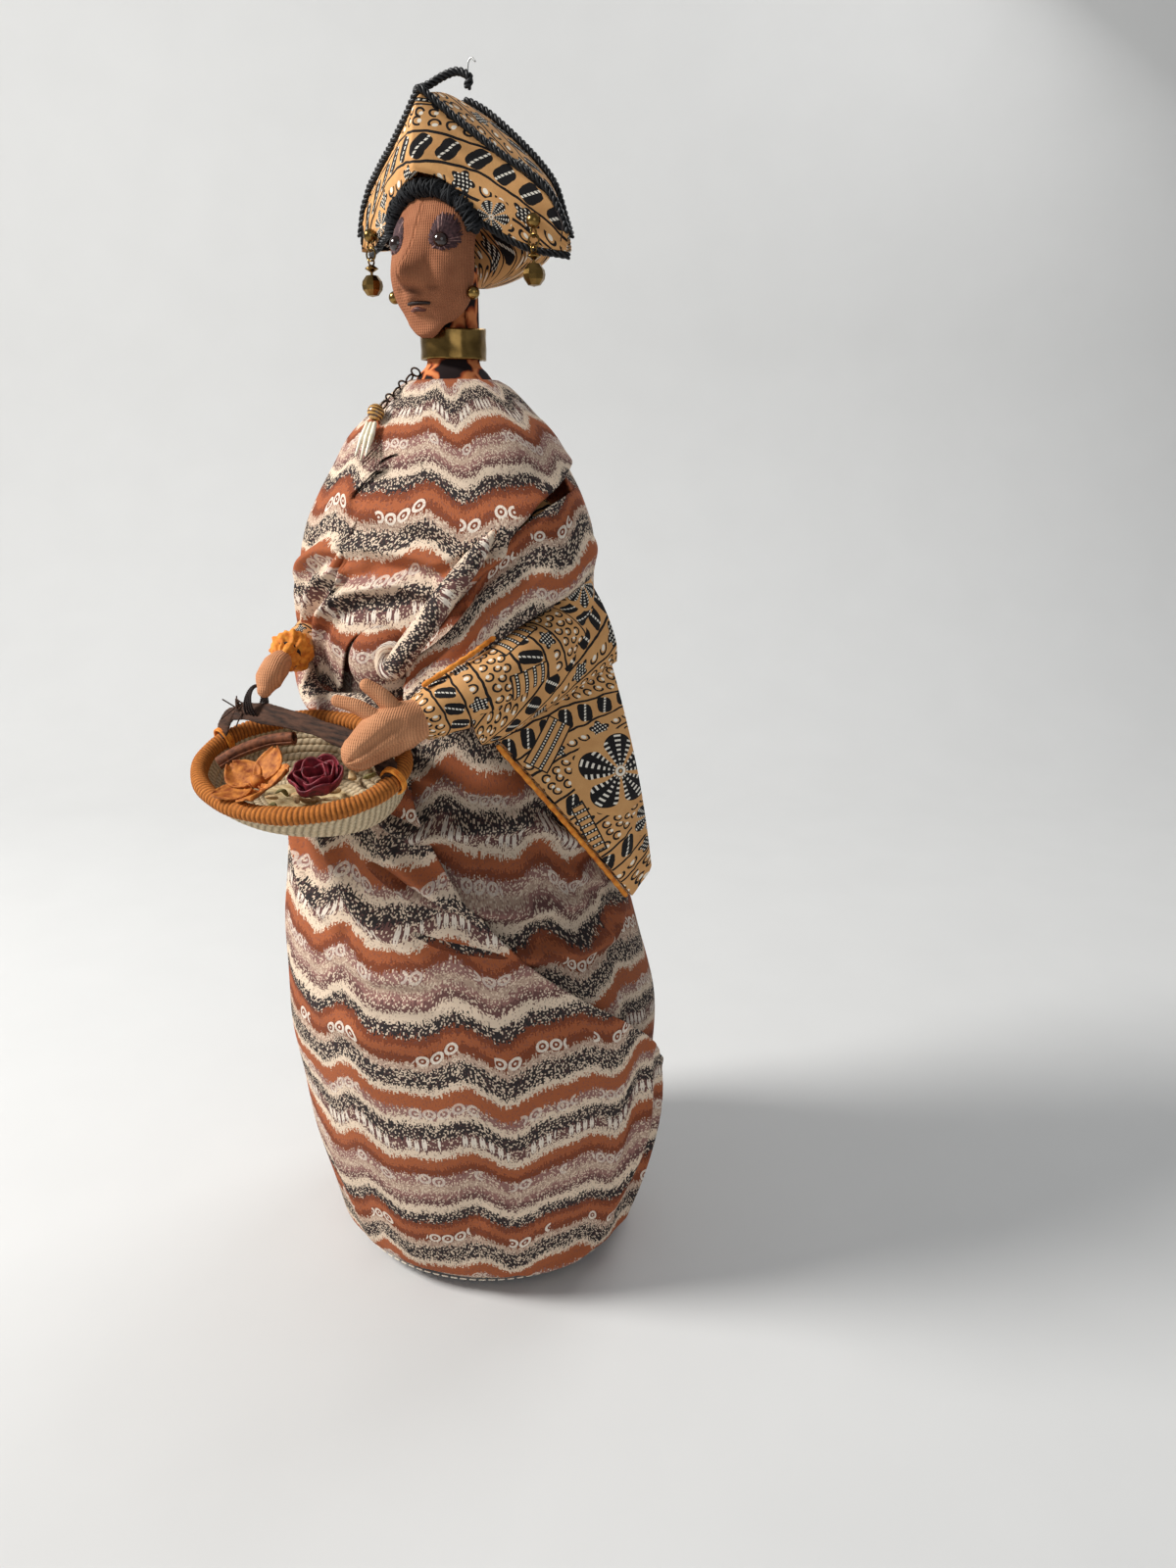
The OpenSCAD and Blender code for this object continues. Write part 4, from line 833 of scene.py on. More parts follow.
# the stuffed bell end that hangs from the forearm
tip_front, tip_back, top_front, top_back, belly = np.array(
    [[76, -1, 172], [78.5, 9, 182], [51.5, -52, 243], [64.5, 0, 264], [6, -4, 0]], float)
u, v = np.meshgrid(np.linspace(0, 1, 70), np.linspace(0, 1, 110))
tip = mix(tip_front, tip_back, u[..., None])
top = mix(top_front, top_back, u[..., None])
bulge = belly * (np.sin(pi * v) * (1 - 0.35 * u))[..., None]
middle = mix(tip, top, v[..., None]) + bulge
half = 0.7 + 3.4 * np.maximum(0, np.sin(pi * mix(0.03, 0.97, u)) * np.sin(pi * mix(0.06, 0.92, v))) ** 0.6
ripple = 0.55 * np.sin(v * 9 - u * 5) * np.sin(pi * u) + 0.8 * bell(u - 0.35 - 0.3 * v, 0.07) * np.sin(pi * v)
outward = np.array([0.93, -0.35, 0.05])
front = middle + outward * (half + ripple)[..., None]
back = middle - outward * (half * 0.95)[..., None]
width = np.linalg.norm(top - top[:, :1], axis=2) * v + 6 * u * (1 - v)
UV = np.stack([width, v * 88], 2)
FLAP = batik("batik_flap", flowers=((26, 50, 16.5, 5, 0.35), (21, 22, 7.5, 5, 0.8)), shift=(5, 13), bend=0.004,
             blocks=((13, 76, 11, 4.6, 0.42), (3, 40, 2.6, 12, -0.2)))
side = grid(np.stack([border(front), border(back)]), wrap=True)
piece("bell_flap", [grid(front, UV), grid(back, UV + [40, 11], flip=True), side], FLAP, "sleeve_flap",
      "left_bell_flap")
v = np.linspace(0.03, 0.965, 90)[:, None]
mid = mix(tip_front, top_front, v) + belly * np.sin(pi * v)
piece("flap_edge", [tube(mid + [0.2, -1.7, -0.9], 0.95 + 0.1 * np.sin(np.arange(90) * 0.9), 12)], ORANGE,
      "sleeve_flap", "flap_piping")

# the cloth between the forearm and the bell end's top edge
net = np.array([
    [(56, -1, 293), (58.5, -10, 286), (59.5, -24, 277), (58, -38, 270), (53.5, -50, 262), (47, -60, 253)],
    [(62, -0.5, 283), (63.5, -11, 275), (62.5, -24, 267), (59.5, -38, 259.5), (55, -50, 252.5), (48.5, -59, 246)],
    [(66.5, 0.5, 271), (65.5, -12, 264.5), (62.8, -25, 258), (59, -38.5, 251.5), (54.5, -50, 245.5),
     (49.5, -57, 241.5)],
    [(67.2, 1, 263.5), (65, -11.5, 258.8), (61.8, -24.5, 253.5), (58, -37.5, 248.4), (53.8, -50, 243), (50, -56, 240)],
], float)
P = patch(net, 90, 50)
a, b = np.meshgrid(np.linspace(0, 1, 90), np.linspace(0, 1, 50))
P = P + np.array([0.9, -0.4, 0.1]) * (0.8 * np.sin(a * 9 + b * 3) * np.sin(pi * b))[..., None]
drape = piece("sleeve_drape", [grid(P, np.stack([a * 66 + 4, 118 - b * 26], 2))], FLAP, None,
              thick=1.0)
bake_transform(drape)

# ---------------------------------------------------------------- hands

def mitt(points, radii, n=48, k=70, up=None, grooves=()):
    """A stuffed hand or finger, with stitched grooves along it."""
    path, Q, out, size, F, uv, rows, a = rings(points, radii, n, k, up)
    d = np.zeros((len(Q), n))
    for at, w, depth, start in grooves:
        d = d + depth * bell(np.angle(np.exp(1j * (a - at))), w) * np.clip((rows - start) / 0.2, 0, 1)
    Q = Q + out * (d * np.minimum(1, size / 2))[..., None]
    return Q.reshape(-1, 3), F, uv


hand = [mitt([[34.6, -69.8, 251.2], [32, -78, 249.5], [30, -86, 247], [28.5, -95, 243]], [6.7, 8.5, 8.9, 6.4],
             up=(1, 0, 0), grooves=((0.5, 0.2, -1.7, 0.4), (1.3, 0.2, -1.7, 0.4), (2.1, 0.2, -1.7, 0.4))),
        mitt([[32, -80, 254], [28, -83, 260], [24, -86, 264]], [3.4, 3, 2.3], 28, 40, up=(1, 0, 0)),
        mitt([[30, -86, 252], [24, -90, 257], [17, -93, 259]], [3, 2.6, 2.1], 28, 40)]
HAND = knit("hand_knit", (178, 118, 82), (232, 168, 124))
piece("left_hand_knit", hand, HAND, "figure", "left_hand")
piece("right_hand_knit", [mitt([[-37, -68.2, 264.2], [-34, -75, 262], [-31.5, -81, 258.5], [-30, -84.5, 255.2]],
                               [3.6, 5.1, 4.9, 2.7], up=(1, 0, 0))], HAND, "figure", "right_hand")
parts = []
for k in range(7):            # dark stitches on the end of the left hand
    c = np.array([26.0 + 0.9 * k, -98.6 + 0.45 * abs(k - 3), 241.5 + 0.8 * k])
    parts.append(tube([c + [0, 0, -1.3], c + [-0.3, -0.6, 0], c + [0, 0, 1.3]], 0.28, 6))
piece("hand_stitches", parts, THREAD, "figure")
parts = []
for k in range(4):
    a = np.linspace(0, 2 * pi, 40)
    q = (np.array([-31.6 - 1.1 * k, -86.1, 251.2]) + 3.5 * np.cos(a)[:, None] * np.array([0.15, 1.0, 0])
         + (5.4 + 0.3 * (k % 2)) * np.sin(a)[:, None] * np.array([0.16 * (k - 1.5), 0.1, 1.0]))
    parts += braid(q, 0.42, 1.5, 6)
piece("finger_cord", parts, THREAD, "figure", "finger_binding")

# ---------------------------------------------------------------- basket

tilt = math.radians(22)
middle_of_rim = np.array([-7, -91, 232.5])


def rim_point(t, out=0.0, up=0.0):
    """A point at t degrees round the basket's tilted rim, so far outside it and above it."""
    a, out, up = np.broadcast_arrays(np.radians(np.asarray(t, float)), out, up)
    x, y = (45 + out) * np.cos(a), (28 + out) * np.sin(a)
    c, s = math.cos(tilt), math.sin(tilt)
    return middle_of_rim + np.stack([x, y * c - up * s, y * s + up * c], -1)


def yarn(name, a, b):
    """Wound yarn: the flat u counts turns, so each turn keeps its colour in its middle and has painted shade in the
    groove.
    """
    g = G(name, 0.85, spec=0.2)
    u, v = g.flat()
    x, y, z = g.place()
    groove = (u * pi).sin().abs()
    n = g.noise(g.vec(x / 1.2, y / 1.2, z / 1.2), 1, 3)
    hair = g.noise(g.vec(u * 9, v / 3, 0.0), 1, 2)
    col = g.mix(n, srgb(*a), srgb(*b))
    # painted shade in the groove between turns
    col = g.mix((1 - groove) * 0.75, col, g.mix(1.0, srgb(*a), (0.3, 0.27, 0.25, 1), "MULTIPLY"))
    g.colour(g.mix((hair - 0.5).clamp(), col, srgb(*[min(255, c + 34) for c in b])))
    g.bump(hair + n, 0.14)
    return g.mat


T, J = np.meshgrid(np.linspace(0, 360, 1300, endpoint=False), around(22), indexing="ij")
turns = 132
phase = T / 360 * turns + J / (2 * pi) * 2
r = 2.75 + 0.5 * np.abs(np.sin(pi * phase)) ** 0.6 + 0.12 * np.sin(T * 0.21)
P = rim_point(-T, r * np.cos(J), r * np.sin(J))
a, b = np.meshgrid(np.linspace(0, turns, 1301), np.linspace(0, 2, 23), indexing="ij")
n, m = T.shape
i, k = [x.ravel() for x in np.meshgrid(np.arange(n), np.arange(m), indexing="ij")]
F = np.stack([i * m + k, i * m + (k + 1) % m, (i + 1) % n * m + (k + 1) % m, (i + 1) % n * m + k], 1)
flat = np.stack([a + b, b * 5], 2).reshape(-1, 2)
uv = flat[np.stack([i * 23 + k, i * 23 + k + 1, (i + 1) * 23 + k + 1, (i + 1) * 23 + k], 1)]
piece("rim_roll", [(P.reshape(-1, 3), F, uv)], yarn("rim_yarn", (132, 72, 28), (214, 132, 58)), "figure", "basket_rim")
SISAL = yarn("sisal_coils", (172, 146, 108), (232, 214, 182))
prof = spline([[-19.5, -19], [-15.5, -17], [-9.5, -14.4], [-4.9, -10.4], [-2.0, -6.2], [-0.6, -3.2]], 11)
parts = []
for k, (o, up) in enumerate(prof):
    T, J = np.meshgrid(np.linspace(0, 360, 420, endpoint=False), around(12), indexing="ij")
    turns = int(90 - 2.5 * (10 - k))
    r = 1.55 + 0.22 * np.abs(np.sin(pi * (T / 360 * turns + J / pi))) ** 0.7
    P = rim_point(-T, o + r * np.cos(J), up + r * np.sin(J))
    P = np.concatenate([P, P[:1]], 0)
    a, b = np.meshgrid(np.linspace(0, turns, 421), np.linspace(0, 2, 13), indexing="ij")
    parts.append(grid(P, np.stack([a + b, b * 3 + k], 2), wrap=True))
piece("sisal_bowl", parts, SISAL, "figure", "basket_wall")
q = spline([rim_point(172, 0, 3.5), [-47, -87.5, 244], [-36, -87, 247], [-10, -86.5, 246.6], [12, -86.5, 244],
            [26, -87.5, 241.5], [34, -89, 238], rim_point(4, 0, 3.5)], 150)
s = np.linspace(0, 1, 150)
P, F, uv = tube(q, 3.9 * (0.9 + 0.1 * np.sin(s * 23) + 0.05 * np.sin(s * 61)), 26, 0.24, up=(0, 0.82, -0.57))
P = P + np.random.default_rng(4).normal(0, 0.07, P.shape)
BARK = plain("bark", (30, 20, 15), (88, 58, 42), 1.3, 0.85, depth=0.5, stretch=(5, 1, 1), detail=5)
piece("bark_handle", [(P, F, uv)], BARK, "figure", "basket_handle")
parts = []
for k in range(9):            # frayed fibres where the handle leaves the hand
    g_ = np.random.default_rng(30 + k)
    p0 = np.array([-38, -86.8, 247.5]) + g_.uniform(-1, 1, 3) * [3, 0.8, 2.5]
    p1 = p0 + g_.uniform(-1, 1, 3) * 3 + [-3, -1, 1]
    p2 = p0 + g_.uniform(-1, 1, 3) * 4 + [-6, -1.5, -1]
    parts.append(tube(spline([p0, p1, p2], 10), 0.28, 5))
piece("handle_fibres", parts, BARK, "figure")
parts = []
for t in (4, 172):
    cos_t, sin_t = math.cos(math.radians(t)), math.sin(math.radians(t))
    x1 = np.array([cos_t, sin_t * math.cos(tilt), sin_t * math.sin(tilt)])
    x2 = np.array([0, -math.sin(tilt), math.cos(tilt)])
    for k in (-1, 0, 1):
        c = rim_point(t + 1.6 * k, 0, 0.4)
        a = np.linspace(0, 2 * pi, 36)
        parts.append(tube(c + 4.3 * np.cos(a)[:, None] * x1 + 4.6 * np.sin(a)[:, None] * x2, 0.5, 8))
piece("handle_windings", parts, ORANGE, "figure", "handle_ties")


def turned(points, c, rx, ry, rz):
    return points @ (spin(2, rz) @ spin(1, ry) @ spin(0, rx)).T + np.asarray(c, float)


parts = []
for k in range(5):            # cupped petals with curled, ragged edges
    x, y = np.meshgrid(np.linspace(0, 1, 26), np.linspace(-1, 1, 19))
    g_ = np.random.default_rng(50 + k)
    half_w = 6.4 * np.sin(pi * np.clip(x * 0.86 + 0.1, 0, 1)) ** 0.8
    X_, Y_ = 2 + 12.6 * x, y * half_w
    Z_ = 5.2 * x ** 1.5 + 1.9 * y ** 2 * (1 - 0.4 * x) + 0.35 * np.sin(y * 5 + k) + g_.normal(0, 0.08, x.shape)
    a = math.radians(72 * k + 10)
    P = np.stack([X_ * math.cos(a) - Y_ * math.sin(a), X_ * math.sin(a) + Y_ * math.cos(a), Z_], 2)
    parts.append(grid(turned(P, [-10, -107, 227.5], 26, -8, 12)))
PETAL = plain("pod_petals", (128, 56, 16), (214, 136, 60), 2.4, 0.7, depth=0.25, detail=4)
piece("pod_petals", parts + [ball([-10, -107, 229.5], 2.3, 12)], PETAL, "figure", "pod_flower", 0.5)
parts = []
for ring, (r0, h, count) in enumerate(((9.2, 6.8, 5), (6.6, 7.6, 4), (3.8, 7.2, 3))):
    for k in range(count):
        x, y = np.meshgrid(np.linspace(0, 1, 22), np.linspace(-1, 1, 19))
        g_ = np.random.default_rng(70 + 10 * ring + k)
        a = 2 * pi * k / count + ring * 0.6 + y * (0.62 * 2 * pi / count) + 0.35 * x
        r = 1.6 + (r0 - 1.6) * np.sin(pi / 2 * x) ** 0.8 * (1 - 0.12 * y ** 2) + 0.5 * np.sin(4 * y + k)
        Z_ = h * x ** 1.7 + 0.9 * x * np.sin(3.4 * y + ring)
        P = np.stack([r * np.cos(a), r * np.sin(a), Z_], 2) + g_.normal(0, 0.05, x.shape + (3,))
        parts.append(grid(turned(P, [12, -99, 229.0], 20, 10, 0)))
CRIM = plain("crimson_petals", (62, 12, 20), (156, 46, 60), 2.2, 0.55, depth=0.2, detail=4, spec=0.45)
piece("crimson_petals", parts, CRIM, "figure", "red_flower", 0.45)
q = spline([[-36, -103, 231], [-31, -97.5, 235], [-23, -90, 238.6], [-14, -86, 240.2]], 50)
t_, s_, u_ = frames(q)
roll = np.linspace(0.3, 2 * pi * 1.45, 34)
P = q[:, None] + (2.55 - 0.12 * roll)[None, :, None] * (np.cos(roll)[None, :, None] * s_[:, None]
                                                        + np.sin(roll)[None, :, None] * u_[:, None])
CINN = plain("cinnamon_bark", (78, 42, 26), (140, 84, 54), 1.8, 0.75, depth=0.3, detail=5)
piece("cinnamon_curl", [grid(P)], CINN, "figure", "cinnamon_stick", 0.35)
parts, pale = [], []
into_basket = np.array([0, 0.374, -0.927])
for k in range(26):           # dried bits on the basket's floor
    g_ = np.random.default_rng(100 + k)
    a, rr = g_.uniform(0, 2 * pi), g_.uniform(0.1, 0.72)
    c = middle_of_rim + (rim_point(math.degrees(a)) - middle_of_rim) * rr + into_basket * (11.5 - 5.5 * rr ** 2)
    d = g_.normal(0, 1, 3) * [1, 1, 0.35]
    d /= np.linalg.norm(d)
    L = g_.uniform(4, 8)
    P, F, uv = tube(spline([c - d * L / 2, c + g_.normal(0, 0.8, 3), c + d * L / 2], 12),
                    g_.uniform(1.3, 2.6) * np.sin(np.linspace(0.5, 2.7, 12)), 12, 0.4)
    (pale if k % 3 else parts).append((P, F, uv))
piece("dried_leaves", parts, plain("dried_leaf", (92, 86, 50), (150, 140, 92), 2, 0.8, depth=0.2), "figure")
piece("dried_peel", pale, plain("dried_peel", (176, 132, 84), (228, 204, 158), 2, 0.75, depth=0.2), "figure")

# ---------------------------------------------------------------- neck and jewellery

bodice_rows = spline([[325, 0, -9, 24.5, 21.5], [342, 0, -9, 23, 20.5], [353, 0, -9, 20, 18.5], [360, 0, -9, 16.5, 16],
                      [366, 0, -9, 12.4, 12.4], [370, 0, -9, 9.6, 9.6], [377.6, 0, -9, 9, 9]], 120)
T, Z = np.meshgrid(np.linspace(0, 360, 160, endpoint=False), np.linspace(330, 377.4, 90))
D = 0.3 + 0.35 * np.sin(np.radians(T) * 6 + Z / 5) * bell(Z - 362, 9) - 0.25 * bell(Z - 369, 1.5)
piece("bodice_cloth", [grid(on(bodice_rows, T, Z, D), wrap=True)], VEIN, "figure", "bodice")
wire = plain("dark_wire", (38, 30, 26), (84, 66, 54), 1.2, 0.4, 1.0, depth=0.03)
parts = []
for k in range(6):
    c = np.array([-8.1 - 0.38 * k, -21 - 3.1 * k, 366.8 - 2.35 * k])
    a = np.linspace(0, 2 * pi, 33)
    p_ = np.stack([1.75 * np.cos(a), np.zeros_like(a), 1.75 * np.sin(a)], 1)
    p_ = p_ @ spin(0, 36).T @ spin(2, 90 * (k % 2) + 12).T
    parts.append(tube(c + p_, 0.36, 10, cap=False))
piece("necklace_links", parts, wire, "figure", "necklace_wire")
pivot = np.array([-10.8, -42.4, 349.4])
parts = []
for k in (-1, 0, 1):
    tip_ = np.array([2.6 * k, -6.5, -13.5 + abs(k) * 1.5])
    parts.append(tube(spline([pivot + [1.9 * k, -0.3, -0.9], pivot + [2.4 * k, -3, -5.8], pivot + tip_], 50),
                      np.interp(np.linspace(0, 1, 50), [0, 0.5, 1], [0.85, 1.1, 0.3]), 20, 0.85))
piece("bone_teeth", parts, plain("bone", (206, 192, 162), (240, 232, 212), 2.5, 0.35, spec=0.5, depth=0.03,
                                 stretch=(0.6, 0.6, 3)), "pendants", "bone_pendants")
# neck band: two overlapping strips of worn brass
parts = []
for r, lo, hi, a0, a1 in ((11.7, 371.2, 381.2, -230, 128), (12.1, 371.0, 381.8, -62, 60)):
    T, Z = np.meshgrid(np.radians(np.linspace(a0, a1, 150)), np.linspace(lo, hi, 14))
    w = 0.12 * np.sin(T * 5 + Z) + 0.06 * np.sin(T * 17)
    lean = 0.25 * np.sin(T * 3) * (Z - lo) / (hi - lo)
    parts.append(grid(np.stack([(r + w * 0.6) * np.cos(T), -9 + (r + w * 0.6) * np.sin(T), Z + lean], 2)))
piece("brass_band", parts, BRASS, "neck_band", "choker", 0.5)

# ---------------------------------------------------------------- head

NECK = np.array([0, -9, 0.0])
HEAD_TURN = 5                 # degrees to the doll's left


def world(P):
    """Points of the head's frame in the doll's frame."""
    P = np.asarray(P, float)
    c, s_ = math.cos(math.radians(HEAD_TURN)), math.sin(math.radians(HEAD_TURN))
    return np.stack([P[..., 0] * c - P[..., 1] * s_, P[..., 0] * s_ + P[..., 1] * c, P[..., 2]], -1) + NECK


def face(t, z, d=0.0):
    """Points on the head at angle t in degrees and height z, d outside it, with the nose."""
    t, z, d = np.broadcast_arrays(np.asarray(t, float), z, d)
    f = [np.interp(z, head_rows[:, 0], head_rows[:, k]) for k in (2, 3, 4)]
    a = np.radians(t)
    x = (f[1] + d) * np.cos(a)
    nose = np.where(np.sin(a) < 0, 5.5 * bell(x, 5.4) * bell(z - 398, np.where(z < 398, 5.5, 9)), 0)
    return np.stack([x, -f[0] + (f[2] + d) * np.sin(a) - nose, z], -1)


def detail(t, z):
    """What the stitching does to the head's surface: lips, nostrils, eye hollows, cheeks and seam."""
    x = face(t, z)[..., 0]
    front_ = np.sin(np.radians(t)) < 0
    d = 0.9 * bell(x, 3.6) * bell(z - 391.2, 1.3) + 1.3 * bell(x, 3.0) * bell(z - 387.4, 1.5)
    d = d - 1.1 * bell(x, 4.2) * bell(z - 389.5, 0.65)
    d = d + 0.8 * bell(np.abs(x) - 3.6, 1.7) * bell(z - 396.6, 2.4) - 1.2 * bell(x, 4.6) * bell(z - 393.3, 1.3)
    d = d + 3.2 * bell(x, 3.5) * bell(z - 398.4, 4.4) - 1.3 * bell(np.abs(x) - 6.8, 1.7) * bell(z - 399, 6)
    d = d - 0.9 * bell(np.abs(x) - 8.6, 3.6) * bell(z - 409.5, 3.6) + 0.5 * bell(np.abs(x) - 10, 4) * bell(z - 398, 5)
    d = d - 0.35 * bell(x, 0.35) * (z > 394) + 0.18 * bell(np.abs(x) - 0.8, 0.4) * (z > 394)
    return d * front_


T, Z = np.meshgrid(np.linspace(0, 360, 300, endpoint=False),
                   np.concatenate([[378, 378.4], np.linspace(379, 442.2, 190)]))
# painted shade under the nose, in the mouth groove, in the creases beside the nose and in the eye hollows
painted_shade_spots = [(world(face(*p_)).tolist(), r_, k_) for p_, r_, k_ in (
    ((270, 392.9, 0.3), 4.2, 0.8), ((270, 389.4, 0.5), 3.2, 0.5), ((243, 394.0, 0.4), 2.4, 0.5),
    ((297, 394.0, 0.4), 2.4, 0.5), ((233, 409.5, 0), 5.0, 0.35), ((307, 409.5, 0), 5.0, 0.35))]
FACE = knit("face_knit", (132, 80, 56), (180, 120, 86), painted_shade_spots, 0.12)
P = face(T, Z, detail(T, Z))
piece("head_knit", [grid(world(P), wrap=True), ball(world([0, -15.3, 379.2]), 2.2, 10, (1, 0.7, 0.5))], FACE,
      "head", "head_form")
# lips, eyes and the embroidery round them
LIP = plain("lip_thread", (62, 28, 22), (104, 54, 42), 1.4, 0.5, spec=0.35, depth=0.08)
t = np.linspace(258, 282, 30)
z_ = 387.2 + 0.25 * np.cos(np.linspace(-pi, pi, 30))
low_lip = tube(world(face(t, z_, 1.0)), 1.05 * np.sin(np.linspace(0.35, pi - 0.35, 30)) ** 0.6, 14, 0.8)
t = np.linspace(251, 289, 34)
line = tube(world(face(t, 389.5 - 0.3 * ((t - 270) / 19) ** 2, 0.15)), 0.5, 8)
piece("lower_lip", [low_lip], LIP, "head")
piece("mouth_line", [line], THREAD, "head")
LID = plain("eye_embroidery", (46, 28, 32), (92, 62, 64), 0.9, 0.7, depth=0.2)
PALE = plain("pale_embroidery", (120, 84, 82), (176, 140, 130), 0.8, 0.7, depth=0.1)
dark, pale = [], []
for s_ in (-1, 1):
    for k in range(112):
        g_ = np.random.default_rng(500 + k + 300 * s_)
        a = 2 * pi * k / 112
        outer = 1.0 + 0.12 * g_.uniform(-1, 1)
        c0 = (270 + s_ * 39, 410.6)
        inner = np.array([2.6 * math.cos(a), 2.1 * math.sin(a) - 1.0])
        wide = 8.2 if math.cos(a) * s_ > 0 else 4.6
        reach = np.array([wide * math.cos(a) * outer, (7.4 if math.sin(a) > 0 else 4.2) * math.sin(a) * outer])
        pts = [inner + (reach - inner) * f for f in (0, 0.35, 0.7, 1)]
        q = [face(c0[0] + p_[0] * 3.5, c0[1] + p_[1], h_ + detail(c0[0] + p_[0] * 3.5, c0[1] + p_[1]))
             for p_, h_ in zip(pts, (0.25, 0.55, 0.4, 0.0))]
        (pale if g_.uniform() < 0.07 else dark).append(tube(world(np.array(q)), 0.24, 5))
piece("eye_threads", dark, LID, "head", "eyelids")
piece("eye_pale_threads", pale, PALE, "head")
GLASS = plain("eye_glass", (22, 10, 8), (48, 24, 16), 2.0, 0.08, spec=0.8, depth=0)
parts = [ball(world(face(270 + s_ * 38, 409.5, -0.5)), 2.7, 24) for s_ in (-1, 1)]
piece("eye_balls", parts, GLASS, "head", "eye_beads")

# the roll of curly yarn round the face
t = np.linspace(183, 357, 260)
rows_z = mix(412, 427.5, np.maximum(0, -np.sin(np.radians(t))) ** 0.8)
core = world(face(t, rows_z, 2.2))
t_, s_, u_ = frames(core)
length = run(core)
parts = [tube(core, 1.7, 12)]
for k in range(22):
    g_ = np.random.default_rng(200 + k)
    pitch = g_.uniform(3.2, 6.5) * (1 if k % 2 else -1)
    turn = 2 * pi * (length / pitch) + g_.uniform(0, 2 * pi) + 0.8 * np.sin(length / 4 + k)
    rr = g_.uniform(1.5, 2.6) + 0.5 * np.sin(length / g_.uniform(2, 5) + k)
    q = core + rr[:, None] * (np.cos(turn)[:, None] * s_ + np.sin(turn)[:, None] * u_)
    parts.append(tube(spline(q, 700), 0.42, 6))
piece("curly_hair", parts, YARN, "head", "hair_roll")

# ---------------------------------------------------------------- turban

W, TOP = 47.0, 457.0
# edges as (distance from the middle, height); the doll's right side is rounder than the left
right_front = np.array([[0, 0], [9, -7], [20, -14.5], [27, -18.5], [37, -25], [43, -32], [47, -43]], float)
right_low = np.array([[0, 432], [9, 429], [16, 421], [22, 417], [33.5, 413], [47, 412]], float)
front_edge = spline([[0, 0], [9, -8], [20, -17], [27, -22.5], [37, -29.5], [42.5, -36.5], [47, -48]], 60)
back_edge = spline([[0, 1.5], [8, -3], [20, -12.7], [30, -21.7], [37, -29.6], [42, -40], [47, -48.5]], 60)
low_edge = spline([[0, 432], [9, 429], [16, 420.5], [22, 415.4], [33.5, 408.8], [47, 406]], 60)


def look(u, edge):
    return np.interp(np.abs(u) * W, edge[:, 0], edge[:, 1])


def front_point(u, v, inside=0.0):
    """A point of the turban's front half: u from -1 at its right end to 1, v from 0 at its lower edge to 1."""
    u, v, inside = np.broadcast_arrays(np.asarray(u, float), v, inside)
    out_ = mix(19.5 - 25.5 * np.abs(u) ** 1.1, 15 - 21 * np.abs(u), v) + 2.5 * np.sin(pi * v) * (1 - u * u)
    low_ = np.where(u < 0, look(u, right_low), look(u, low_edge))
    high_ = np.where(u < 0, look(u, right_front), look(u, front_edge))
    x_ = W * u * (1 - 0.1 * (1 - v) ** 2 * np.abs(u) ** 4 * (u < 0))
    return np.stack([x_, inside - out_, mix(low_, TOP + high_, v)], -1)


def back_point(u, v, inside=0.0):
    u, v, inside = np.broadcast_arrays(np.asarray(u, float), v, inside)
    out_ = -7 - mix(14.5, 6, v * (1 - np.abs(u))) * np.maximum(0, 1 - u * u) ** 0.7
    low_ = np.where(u < 0, look(u, right_low), look(u, low_edge))
    high_ = np.where(u < 0, np.maximum(look(u, right_front), look(u, back_edge)), look(u, back_edge))
    return np.stack([W * u, -inside - out_, mix(low_, TOP + high_, v)], -1)


TURBAN = batik("batik_turban", flowers=((24, 11, 5.6, 6, 0.2), (-26, 12, 5.6, 6, 0.4)), shift=(2.5, 1.5), bend=0.012,
               blocks=((0, 50, 4.2, 3.4, 0.0),))
TURBAN2 = batik("batik_turban_back", flowers=((0, 24, 9, 8, 0.2),), shift=(7, 11), bend=0.01)
u, v = np.meshgrid(np.linspace(-0.985, 0.985, 190), np.linspace(0, 1, 100))
puff = 0.5 * wobble(u * 47, v * 50, 22, 8) - 0.8 * bell(v - 1, 0.04) - 0.5 * bell(v, 0.04)
P = front_point(u, v, -0.2 - puff)
UV = np.stack([P[..., 0], P[..., 2] - 406], 2)
Q = front_point(u, v, 2.2)
shell = [grid(world(P), UV), grid(world(Q), UV, flip=True),
         grid(world(np.stack([border(P), border(Q)])), wrap=True)]
piece("turban_front_cloth", shell, TURBAN, "head", "turban_front")
P = back_point(u, v, -0.2 - puff)
Q = back_point(u, v, 2.2)
UV = np.stack([-P[..., 0], P[..., 2] - 406], 2)
shell = [grid(world(P), UV, flip=True), grid(world(Q), UV),
         grid(world(np.stack([border(P), border(Q)])), wrap=True)]
piece("turban_back_cloth", shell, TURBAN2, "head", "turban_back")
u, w = np.meshgrid(np.linspace(-0.93, 0.93, 150), np.linspace(0, 1, 24))
P = mix(front_point(u, 1, 2.0), back_point(u, 1, 2.0), w[..., None])
P[..., 2] += -0.4 + 1.6 * np.sin(pi * w)
piece("turban_top_cloth", [grid(world(P), np.stack([u * 47, w * 24 + 60], 2))], TURBAN2, "head", "turban_gusset",
      1.6)
bun = spline([[397.8, 0, 20, 1.5, 1], [398.2, 0, 20, 5, 4], [399.5, 0, 20, 12, 7], [402, 0, 20, 20, 8.6],
              [406.7, 0, 20, 29, 9.6], [411.5, 0, 19.5, 30.5, 9.4], [416, 0, 19, 27, 8], [420, 0, 17, 22, 7]], 70)
T, Z = np.meshgrid(np.linspace(0, 360, 150, endpoint=False), bun[:, 0])
D = 0.35 * wobble(T / 360 * 120, Z, 20, 9)
P = on(bun, T, Z, D)
UV = np.stack(np.meshgrid(np.linspace(0, 120, 151), bun[:, 0] - 398), 2)
piece("turban_bun_cloth", [grid(world(P), UV, wrap=True)], TURBAN2, "head", "turban_bun")
lift = np.array([0, 0, 1.8])
